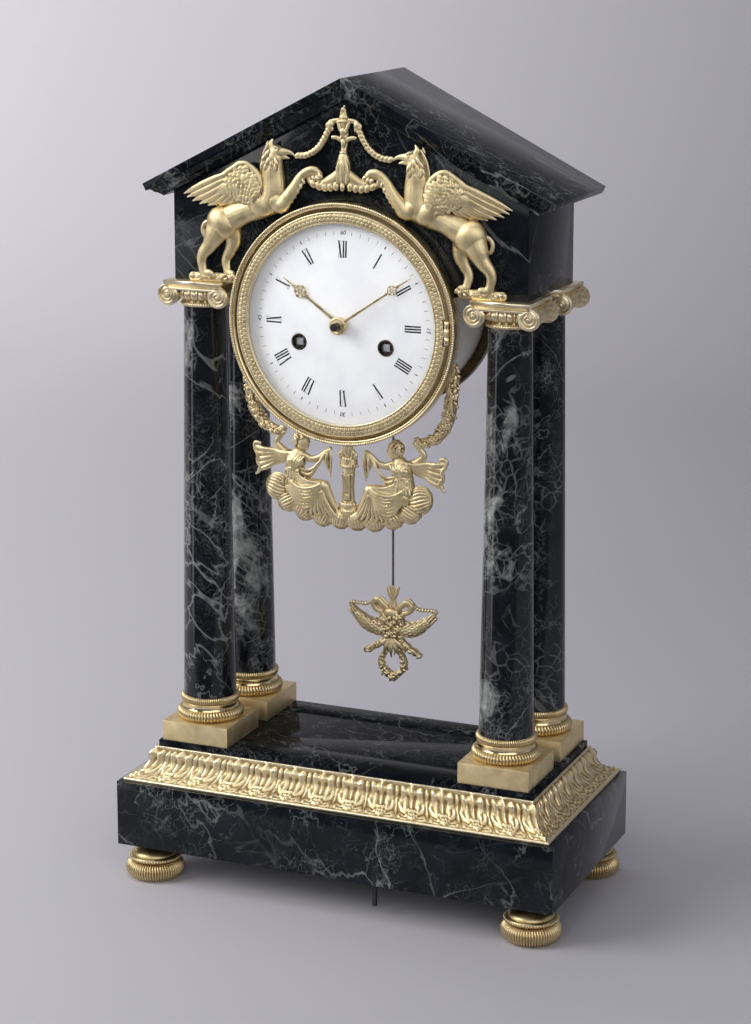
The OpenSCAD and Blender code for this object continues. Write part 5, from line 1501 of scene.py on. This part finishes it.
ornament_masses += [(0, -9.2, 63.8, 2.6, 1.8, 1.7, 90), (0, -10.2, 74, 6.2, 1.2, 1.3, 90)]
for h, wide in ((110.6, 1.2), (108.6, 1.9), (106.6, 2.6)):
    for side in (-1, 1):
        ornament_masses.append((side * wide * 0.6, -6.4, h, 2.0, 1.2, 1.0, 90 + side * 28))
ornament = cast("gilt_middle_ornament", ornament_limbs, ornament_masses, 0.36, 1, on_block, FACE_Y)
hollows(ornament, 2.4, 3)
dress(ornament, matt_gilt, replaced=["pediment_ornament"])

# Figures on clouds
# Two seated women in girdled classical dress with flying mantles, one on each side of a burning torch
# stand, cast in one with the bank of clouds that hangs under the bezel. Their faces are plain and calm.
FIGURE_Y = -38.3
FIGURE_DEPTH = 0.72
under_dial = Matrix.Translation((0, FIGURE_Y * MM, DIAL_Z * MM)) @ Matrix.Diagonal((1, FIGURE_DEPTH, 1, 1))
torso = [
    (34.6, 0, -87.4, 5.4),
    (36, -0.5, -90.5, 6.9),
    (37, 0, -95, 6.1),
    (37.6, 0, -99, 6.5),
    (37.8, 0, -105, 7.4),
]
thigh = [(37, -2, -108, 6.4), (29, -3.5, -107, 5.8), (20.6, -4.5, -105.4, 4.9), (15.6, -4.5, -105.2, 4.2)]
shin = [(15.6, -4.5, -105.2, 4.2), (13, -4, -110.8, 3.5), (10, -3.5, -117, 2.9), (7.4, -3, -121, 2.1)]
foot = [(7.4, -3.4, -121, 2.0), (4.2, -4.4, -122.6, 1.5)]
outer_arm = [(38.6, 0.5, -88, 3.3), (43.4, 1, -86.4, 2.9), (48.4, 1, -82.8, 2.5), (50, 1, -80.6, 2.2)]
outer_arm += [(48, 0.5, -76.8, 1.9), (44.4, 0, -73.4, 1.5)]
inner_arm = [(30.2, -0.5, -87.6, 2.9), (25.2, -1, -88.8, 2.3), (20.4, -1, -87.6, 2.0), (16, -1, -83.8, 1.7)]
inner_arm += [(12.4, -1, -80.8, 1.4)]
neck_run = [(32.2, 0, -82.6, 2.7), (34, 0, -86.4, 3.0)]
figure_limbs = [neck_run, torso, thigh, shin, foot, outer_arm, inner_arm]
figure_masses = [
    (31, -0.6, -78.4, 5.4, 5.0, 4.6, 102),
    (32.9, 0.2, -77.2, 4.9, 5.4, 4.7, 120),
    (28.5, -3.9, -77.5, 1.0, 0.7, 0.5, 10),
    (26.6, -1.8, -78.9, 1.2, 1.0, 0.65, 66),
    (27.6, -2.0, -80.9, 1.0, 1.3, 0.7, 10),
    (28.5, -2.0, -82.2, 1.5, 1.7, 1.2, 0),
    (32.4, -5.0, -90.6, 3.0, 2.4, 2.6, 0),
    (38.8, -4.9, -90.8, 3.0, 2.4, 2.6, 0),
    (29, -4.6, -108.4, 9.4, 4, 4.8, 8),
]
scatter = random.Random(8)
for i in range(60):
    turn = math.radians(scatter.uniform(-48, 142))
    rise = math.radians(scatter.uniform(0, 68))
    spot = (32.2 + 5.6 * math.cos(rise) * math.cos(turn), -0.4 - 5.9 * math.sin(rise))
    lift = -77.4 + 5.6 * math.cos(rise) * math.sin(turn)
    figure_masses.append((*spot, lift, scatter.uniform(0.8, 1.3), 0.9, 0.7, scatter.uniform(0, 180)))
for i in range(9):
    bow = 0.16 * (i - 4) ** 2
    figure_masses.append((32.2 + 1.2 * i, -6.3 + bow, -95 - 0.3 * bow, 0.85, 0.9, 0.85, 0))
for i in range(6):
    x = 32.6 + 1.9 * i
    fan = 0.5 * (i - 2.5)
    figure_limbs.append(
        [(x * 0.9 + 3.7, -6.1, -96, 0.6), (x, -6.6, -100, 0.8), (x + fan, -7.3, -104.6, 0.85)]
    )
for i in range(4):
    side = (i - 1.5) * 1.9
    figure_limbs.append(
        [(32 + side, -5.0, -87, 0.6), (34.2 + side, -7.2, -90, 0.6), (35.6 + side * 0.6, -6.5, -94, 0.5)]
    )
for i in range(4):
    figure_limbs.append(
        [
            (35.4 + 0.8 * i, -5.6, -97.4 - 1.4 * i, 0.6),
            (27.6 + i, -7.6, -101.6 - i, 0.9),
            (17.6 + i, -8.4, -102.4 - 0.8 * i, 0.6),
        ]
    )
for i in range(7):
    drop = 2.15 * i
    figure_limbs.append(
        [
            (16.8 + 0.5 * i, -8.6, -103 - 0.8 * drop, 0.6),
            (22 + 0.5 * i, -9.8 + 0.2 * i, -105.6 - drop, 0.95),
            (29.4 + 0.2 * i, -9.6 + 0.25 * i, -106.6 - 0.95 * drop, 1.0),
            (36 + 0.1 * i, -8.0, -104.4 - 0.62 * drop, 0.9),
            (41 - 0.2 * i, -6.0, -100.4 - 0.5 * drop, 0.55),
        ]
    )
for i in range(8):
    figure_limbs.append(
        [
            (15.8 + 0.9 * i, -8.2, -107.6 - 0.5 * i, 0.7),
            (13.4 + 1.7 * i, -7.8, -113.6 - 0.4 * i, 1.0),
            (9.6 + 2.9 * i, -6.8, -120.2 - 0.2 * i, 1.2),
            (6.8 + 3.5 * i, -6.0, -123.4, 0.9),
        ]
    )
for i in range(5):
    figure_limbs.append(
        [
            (38.4 + 1.2 * i, -2.6 + 0.6 * i, -85.6 - 1.3 * i, 1.1),
            (45.6 + 0.4 * i, -1.2 + 0.4 * i, -86.6 - 1.5 * i, 1.4),
            (52.6 - 0.3 * i, 0.2, -85.6 - 2.0 * i, 1.6),
            (58.6 - 0.6 * i, -0.6 + 0.3 * (i % 2), -85.4 - 2.8 * i, 1.7),
            (63.4 - 0.3 * i, 0.4, -84.6 - 3.6 * i, 1.6),
        ]
    )
hem = [
    (61.4, 0, -81.8, 1.1),
    (64.8, 0.4, -82, 1.4),
    (64.6, 0.2, -86, 1.5),
    (62.6, -0.6, -89.6, 1.4),
    (63, 0, -93.6, 1.5),
    (61.2, -0.4, -97, 1.4),
    (62.6, 0, -100.4, 1.2),
    (64.6, 0.4, -102, 0.7),
]
figure_limbs.append(hem)
for i in range(4):
    figure_limbs.append(
        [
            (11.8 + 0.8 * i, -2.6, -81 - 0.5 * i, 0.8),
            (11.0 + 1.6 * i, -3.6 + 1.5 * (i % 2), -87 - 0.2 * i, 0.85),
            (11.4 + 1.4 * i, -3.0 + 1.3 * (i % 2), -93 + 1.1 * i, 0.8),
            (12.2 + 0.9 * i, -1.8, -99.2 + 2.4 * i, 0.55),
        ]
    )
for i in range(4):
    figure_limbs.append(
        [
            (15.6 + 0.8 * i, -2.4, -84.2 - 0.8 * i, 0.8),
            (19.6 + 0.9 * i, -3.4 + 1.4 * (i % 2), -90.4 - 1.6 * i, 0.85),
            (26 + 0.4 * i, -4.2 + 1.4 * (i % 2), -95.4 - 1.6 * i, 0.85),
            (32, -4.4, -95 - 1.0 * i, 0.7),
        ]
    )
bank = [(50, -106), (47, -112), (40, -117), (29, -121.4), (16, -124), (0, -125)]
figure_limbs.append([(x, 0, z, 5.2) for x, z in bank])
clouds = ((48.6, -108.4, 8.2, 8.4, 4), (41.4, -116.6, 8.0, 7.0, -42), (29.6, -121.4, 7.8, 7.0, -62))
clouds += ((17.4, -124.2, 7.6, 6.8, -76), (5.6, -125.4, 6.8, 6.6, -88))
for x, z, long, wide, aim in clouds:
    figure_masses.append((x, 0, z, long * 0.97, wide * 0.92, wide * 0.97, aim))
    c, s = math.cos(math.radians(aim)), math.sin(math.radians(aim))
    for k in range(11):
        flute = []
        for share in (-0.92, -0.5, 0.0, 0.5, 0.92):
            turn = math.radians(17 * (k - 5) + 16 * share)
            around_it = math.sqrt(1 - share * share)
            out = long * share
            off = wide * around_it * math.sin(turn)
            front = -0.92 * wide * around_it * math.cos(turn)
            flute.append((x + out * c - off * s, front, z + out * s + off * c, 0.35 + 0.42 * around_it))
        figure_limbs.append(flute)
mirrored = [[(-x, y, z, r) for x, y, z, r in run] for run in figure_limbs]
mirrored_masses = [(-x, y, z, a, b, c, 180 - angle) for x, y, z, a, b, c, angle in figure_masses]
bowl = [(0, 0, -84.5, 3.8), (0, 0, -87, 5.6), (0, 0, -89.6, 6.0), (0, 0, -92, 4.4), (0, 0, -95, 4.0)]
shaft = [(0, 0, -94, 4.2), (0, 0, -104, 3.5), (0, 0, -112.6, 3.8), (0, 0, -115.6, 5.2), (0, 0, -119, 6.4)]
stand_limbs = [bowl, shaft]
stand_masses = []
for i in range(5):
    x = -3.4 + 1.7 * i
    front = -4.2 - 0.35 * (4 - (i - 2) ** 2)
    stand_limbs.append(
        [(x, front + 0.6, -96, 0.6), (x * 0.86, front + 1.0, -104, 0.6), (x, front + 0.6, -112.4, 0.6)]
    )
for i in range(9):
    x = -6.0 + 1.5 * i
    round_off = 0.15 * x * x
    stand_masses.append((x, -6.0 + round_off, -90.8, 0.9, 1.0, 1.0, 0))
    stand_masses.append((x * 0.85, -5.4 + round_off, -86.8, 2.2, 1.0, 0.9, 90))
    stand_masses.append((x, -6.2 + round_off, -115.6, 1.7, 1.1, 0.9, 90))
    stand_masses.append((x * 1.05, -6.4 + round_off, -119.6, 0.9, 1.0, 1.0, 0))
flames = (
    (-3.6, -81.6, 12),
    (-1.3, -79.4, 4),
    (1.3, -79, -5),
    (3.6, -81.4, -14),
    (-5.6, -83.4, 30),
    (5.6, -83.4, -30),
)
for x, h, lean in flames:
    stand_limbs.append(
        [(x * 0.7, -1.8, -85.4, 1.6), (x, -2.6, h - 1, 1.3), (x + lean * 0.06, -1.6, h + 3, 0.5)]
    )
group_limbs = figure_limbs + mirrored + stand_limbs
group_masses = figure_masses + mirrored_masses + stand_masses
figures = cast("gilt_figure_group", group_limbs, group_masses, 0.47, 1, under_dial)
hollows(figures, 2.4, 3)
dress(figures, matt_gilt, replaced=["figure_group"])

# Garlands
# Two garlands of leaves and small flowers, cast and chased, that hang from behind the bezel down to the
# figures' raised hands.
GARLAND_Y = -36.5


def flower(x, y, z, size):
    """Five petals about a round heart."""
    rows = [(x, y - 0.45 * size, z, 0.42 * size, 0.42 * size, 0.42 * size, 0)]
    for petal in range(5):
        turn = math.tau * petal / 5 + 0.4
        spot = (x + 0.62 * size * math.cos(turn), y, z + 0.62 * size * math.sin(turn))
        rows.append((*spot, 0.5 * size, 0.4 * size, 0.4 * size, math.degrees(turn)))
    return rows


garland_run = ((-2.2, 18.3, 3.0), (2.9, 28.2, 3.8), (8.3, 35.9, 4.2), (12.7, 42.5, 4.3), (14.6, 48.6, 4.2))
garland_run += ((13.4, 53.7, 3.6), (11.3, 56.2, 2.6), (9.2, 58, 2.0))
garland_core = []
for out, down, thick in garland_run:
    reach = 75.4 + out
    turn = math.radians(down)
    garland_core.append((reach * math.cos(turn), 0, -reach * math.sin(turn), thick * 0.84))
core_line = [(x, z) for x, y, z, r in garland_core]
scatter = random.Random(11)
garland_masses = []
for i in range(190):
    share = i / 189
    x, z = along(core_line, share)
    ahead = along(core_line, min(1, share + 0.02))
    course = math.degrees(math.atan2(ahead[1] - z, ahead[0] - x + 1e-6))
    thick = 2.7 + 1.3 * math.sin(math.pi * min(1, share * 1.05))
    off = scatter.uniform(-1, 1)
    across = math.radians(course + 90)
    depth = -math.sqrt(max(0, 1 - off * off)) * thick
    spot = (x + off * thick * math.cos(across), depth, z + off * thick * math.sin(across))
    garland_masses.append((*spot, scatter.uniform(1.3, 1.8), 0.9, 1.05, course + 180 + off * 55, 12))
for i in range(12):
    x, z = along(core_line, (i + 0.5) / 12)
    spot = (x + scatter.uniform(-1.8, 1.8), -3.9 - scatter.uniform(0, 0.6), z + scatter.uniform(-1.8, 1.8))
    garland_masses += flower(*spot, 1.9)
hung = Matrix.Translation((0, GARLAND_Y * MM, DIAL_Z * MM))
garland = cast("garland", [garland_core], garland_masses, 0.36, 1, hung)
garlands = repeated(garland, [Matrix.Identity(4), Matrix.Diagonal((-1, 1, 1, 1))], "gilt_garlands")
hollows(garlands, 2.4, 3)
dress(garlands, matt_gilt, replaced=["garlands"])

# Pendulum bob
# A cast bouquet on the end of the pendulum wire: a ribbon bow, two feathered wings with bead strings, buds
# and berries, a fan of leaves, trailing sprays and a small wreath of flowers below.
BOB_Y = 33.4
BOB_Z = 156.0
BOB_DEPTH = 0.6
bob_limbs = [
    [(0, 0, 31, 1.5), (0, 0, 25, 1.6), (0, 0, 17, 3.2), (0, 0, 8, 5.6), (0, 0, 0, 5.2), (0, 0, -6, 3.2)],
    [(-1.0, -1, 23, 1.2), (-2.6, -1, 27, 1.4), (-3.4, -1, 30.4, 1.0)],
    [(1.0, -1, 23, 1.2), (2.6, -1, 27, 1.4), (3.8, -1, 30.2, 1.0)],
]
bob_masses = [(0, -4, 13.6, 5.4, 3.4, 3.2, 0)]
for x, z, size in (
    (-4.4, 8.6, 3.2),
    (4.6, 10.4, 3.2),
    (0.4, 5.6, 2.6),
    (-6.6, 1.4, 3.0),
    (5.2, 2.6, 3.0),
    (-0.8, -0.6, 2.6),
):
    bob_masses += flower(x, -6.4, z, size)
for x, z in ((-2, 3), (2.6, 7.4), (2.8, -1.8), (-3.4, -2.4), (-0.8, 10.4), (7.6, 6.6), (-8, 5.4)):
    bob_masses.append((x, -6.6, z, 1.4, 1.6, 1.4, 0))
scatter = random.Random(23)
for side in (-1, 1):
    bob_limbs += [
        [
            (side * 5, -2, 2.4, 3.4),
            (side * 12, -2, 2.4, 4.8),
            (side * 18, -2, 4.4, 4.6),
            (side * 23.6, -1.6, 8.4, 3.4),
        ],
        [(side * 22.6, -1.6, 7.6, 3.2), (side * 27.6, -1, 12.8, 2.2), (side * 30.6, -1, 17, 1.2)],
        [(side * 17, -4.6, 1.4, 0.9), (side * 25, -3, 6.4, 0.9), (side * 31, -2, 12.6, 0.7)],
        [(side * 16, -6.2, 5, 0.7), (side * 22.6, -5, 9.6, 0.7), (side * 28.6, -2.4, 15.6, 0.6)],
        [(side * 15, -6.6, 3, 0.7), (side * 23, -5, 8, 0.7), (side * 29.6, -2.4, 14, 0.6)],
        [
            (side * 2.4, -2.4, 15, 1.8),
            (side * 6.6, -3, 18.6, 2.2),
            (side * 10.6, -3, 21.2, 2.3),
            (side * 13.6, -2.8, 19, 2.1),
        ],
        [(side * 13.6, -2.8, 19, 2.1), (side * 12.2, -2.6, 15.4, 1.8), (side * 8, -2.4, 13.4, 1.7)],
        [
            (side * 4.4, -1, -4, 2.6),
            (side * 9.4, -1.4, -8.6, 2.4),
            (side * 14.4, -1.2, -11.8, 2.1),
            (side * 19.4, -1, -14.4, 1.5),
        ],
        [
            (side * 2.6, -1, -10, 1.4),
            (side * 6.4, -1.4, -15.4, 1.7),
            (side * 8.6, -1.6, -20, 1.9),
            (side * 7.6, -1.6, -24.6, 2.0),
        ],
        [(side * 7.6, -1.6, -24.6, 2.0), (side * 4, -1.6, -28, 2.3), (0, -1.6, -30, 2.6)],
    ]
    feathered = [(side * 8, 2.4), (side * 12, 2.4), (side * 18, 4.4), (side * 23.6, 8.4), (side * 28, 13.4)]
    for i in range(8):
        x, z = along(feathered, i / 9)
        ahead = along(feathered, i / 9 + 0.1)
        course = math.atan2(ahead[1] - z, ahead[0] - x)
        thick = 4.9 - 2.0 * (i / 7) ** 2
        for k in range(5):
            off = 0.4 * (k - 2 + (0.5 if i % 2 else 0))
            rise = math.sqrt(max(0.0, 1 - off * off))
            spot = (x - off * thick * math.sin(course), -2 - thick * rise, z + off * thick * math.cos(course))
            bob_masses.append((*spot, 1.9, 0.8, 1.0, math.degrees(course)))
    string = [(side * 14, 19.4), (side * 19, 17.2), (side * 24.4, 17.4), (side * 29.6, 17.4)]
    for i in range(9):
        x, z = along(string, i / 8)
        bob_masses.append((x, -1.4, z, 1.0, 1.4, 1.35, 0))
    for i in range(3):
        turn = math.radians(-90 + side * 27 * i)
        if side == 1 or i:
            start = (1.4 * math.cos(turn), -5.4, -3)
            tip = (12.6 * math.cos(turn), -4.4, -3 + 13.4 * math.sin(turn))
            middle = ((start[0] + tip[0]) / 2, -6.6, (start[2] + tip[2]) / 2)
            bob_limbs.append([(*start, 0.9), (*middle, 1.7), (*tip, 0.5)])
    spray = [(side * 6, -6), (side * 12, -10.4), (side * 18.6, -14)]
    for i in range(20):
        x, z = along(spray, i / 19)
        spot = (x + scatter.uniform(-1.6, 1.6), -2.8 - scatter.uniform(0, 1), z + scatter.uniform(-1.6, 1.6))
        bob_masses.append((*spot, scatter.uniform(1.1, 1.7), 1.2, 1.0, scatter.uniform(0, 180)))
    bob_masses += flower(side * 18.4, -2.8, -14, 2.0)
    wreath = [(side * 3, -11.4), (side * 7.4, -17), (side * 8.4, -22), (side * 5.6, -27.2), (side * 1, -30)]
    for i in range(26):
        x, z = along(wreath, i / 25)
        swell = 0.9 + 1.3 * i / 25
        spot = (
            x + scatter.uniform(-swell, swell),
            -2.8 - scatter.uniform(0, 1.2),
            z + scatter.uniform(-swell, swell),
        )
        bob_masses.append((*spot, scatter.uniform(1.0, 1.6), 1.2, 1.0, scatter.uniform(0, 180)))
    bob_masses += flower(side * 3.4, -4, -28.4, 2.2) + flower(side * 7.4, -3.6, -22.4, 1.9)
    for i in range(14):
        spot = (side * scatter.uniform(2, 10), -4 - scatter.uniform(0, 1.6), scatter.uniform(-3, 15))
        bob_masses.append((*spot, scatter.uniform(1.3, 2.1), 1.4, 1.1, scatter.uniform(0, 180)))
bob_masses += flower(0, -4.4, -31, 2.4)
hung_bob = Matrix.Translation((0, BOB_Y * MM, BOB_Z * MM)) @ Matrix.Diagonal((1, BOB_DEPTH, 1, 1))
both_faces = bob_limbs + [[(x, -y, z, r) for x, y, z, r in run] for run in bob_limbs]
both_masses = bob_masses + [(x, -y, z, a, b, c, angle) for x, y, z, a, b, c, angle in bob_masses]
bob = cast("gilt_bob", both_faces, both_masses, 0.36, 1, hung_bob)
hollows(bob, 2.4, 3)
dress(bob, matt_gilt, body="pendulum", replaced=["pendulum_bob"])

# Movement
# Plates, wheels and barrels of brass, with arbors, pinions, springs and screws of steel and a bell of
# bronze. They keep the solids' own shapes and get their finishes here.
steel = metal("grey_steel", (0.42, 0.42, 0.44, 1), (0.22, 0.22, 0.24, 1), 0.22, 0.38, 150.0)
dark_steel = metal("dark_steel", (0.10, 0.10, 0.11, 1), (0.04, 0.04, 0.045, 1), 0.3, 0.45, 150.0)
blued_steel = metal("blued_spring", (0.10, 0.13, 0.26, 1), (0.05, 0.06, 0.12, 1), 0.2, 0.3, 140.0)
movement_brass = metal("movement_brass", (0.78, 0.60, 0.30, 1), (0.60, 0.44, 0.19, 1), 0.24, 0.4, 200.0)
bell_bronze = metal("bell_bronze", (0.62, 0.50, 0.30, 1), (0.44, 0.33, 0.17, 1), 0.16, 0.3, 80.0)
bright_steel = metal("bright_steel", (0.80, 0.80, 0.82, 1), (0.62, 0.62, 0.65, 1), 0.3, 0.45, 150.0)
steel_pieces = [
    "pallets",
    "hammer",
    "pendulum_rod",
    "bezel_hinge_pin",
    "rear_hinge_pin",
    "strap_screws",
    "bell_stand",
]
brass_pieces = ["front_plate", "back_plate", "plate_pillars", "cannon_pinion", "hour_wheel", "minute_wheel"]
brass_pieces += ["going_barrel", "strike_barrel", "centre_wheel", "third_wheel", "escape_wheel", "pin_wheel"]
brass_pieces += ["count_wheel", "fly", "suspension_cock"]
for finish, members in (
    (steel, steel_pieces),
    (bright_steel, ["going_arbor", "strike_arbor"]),
    (dark_steel, ["tie_rods", "foot_studs", "hand_nut"]),
    (blued_steel, ["going_mainspring", "strike_mainspring"]),
    (movement_brass, brass_pieces),
    (bell_bronze, ["bell"]),
):
    for node in members:
        nodes[node].data.materials.clear()
        nodes[node].data.materials.append(finish)
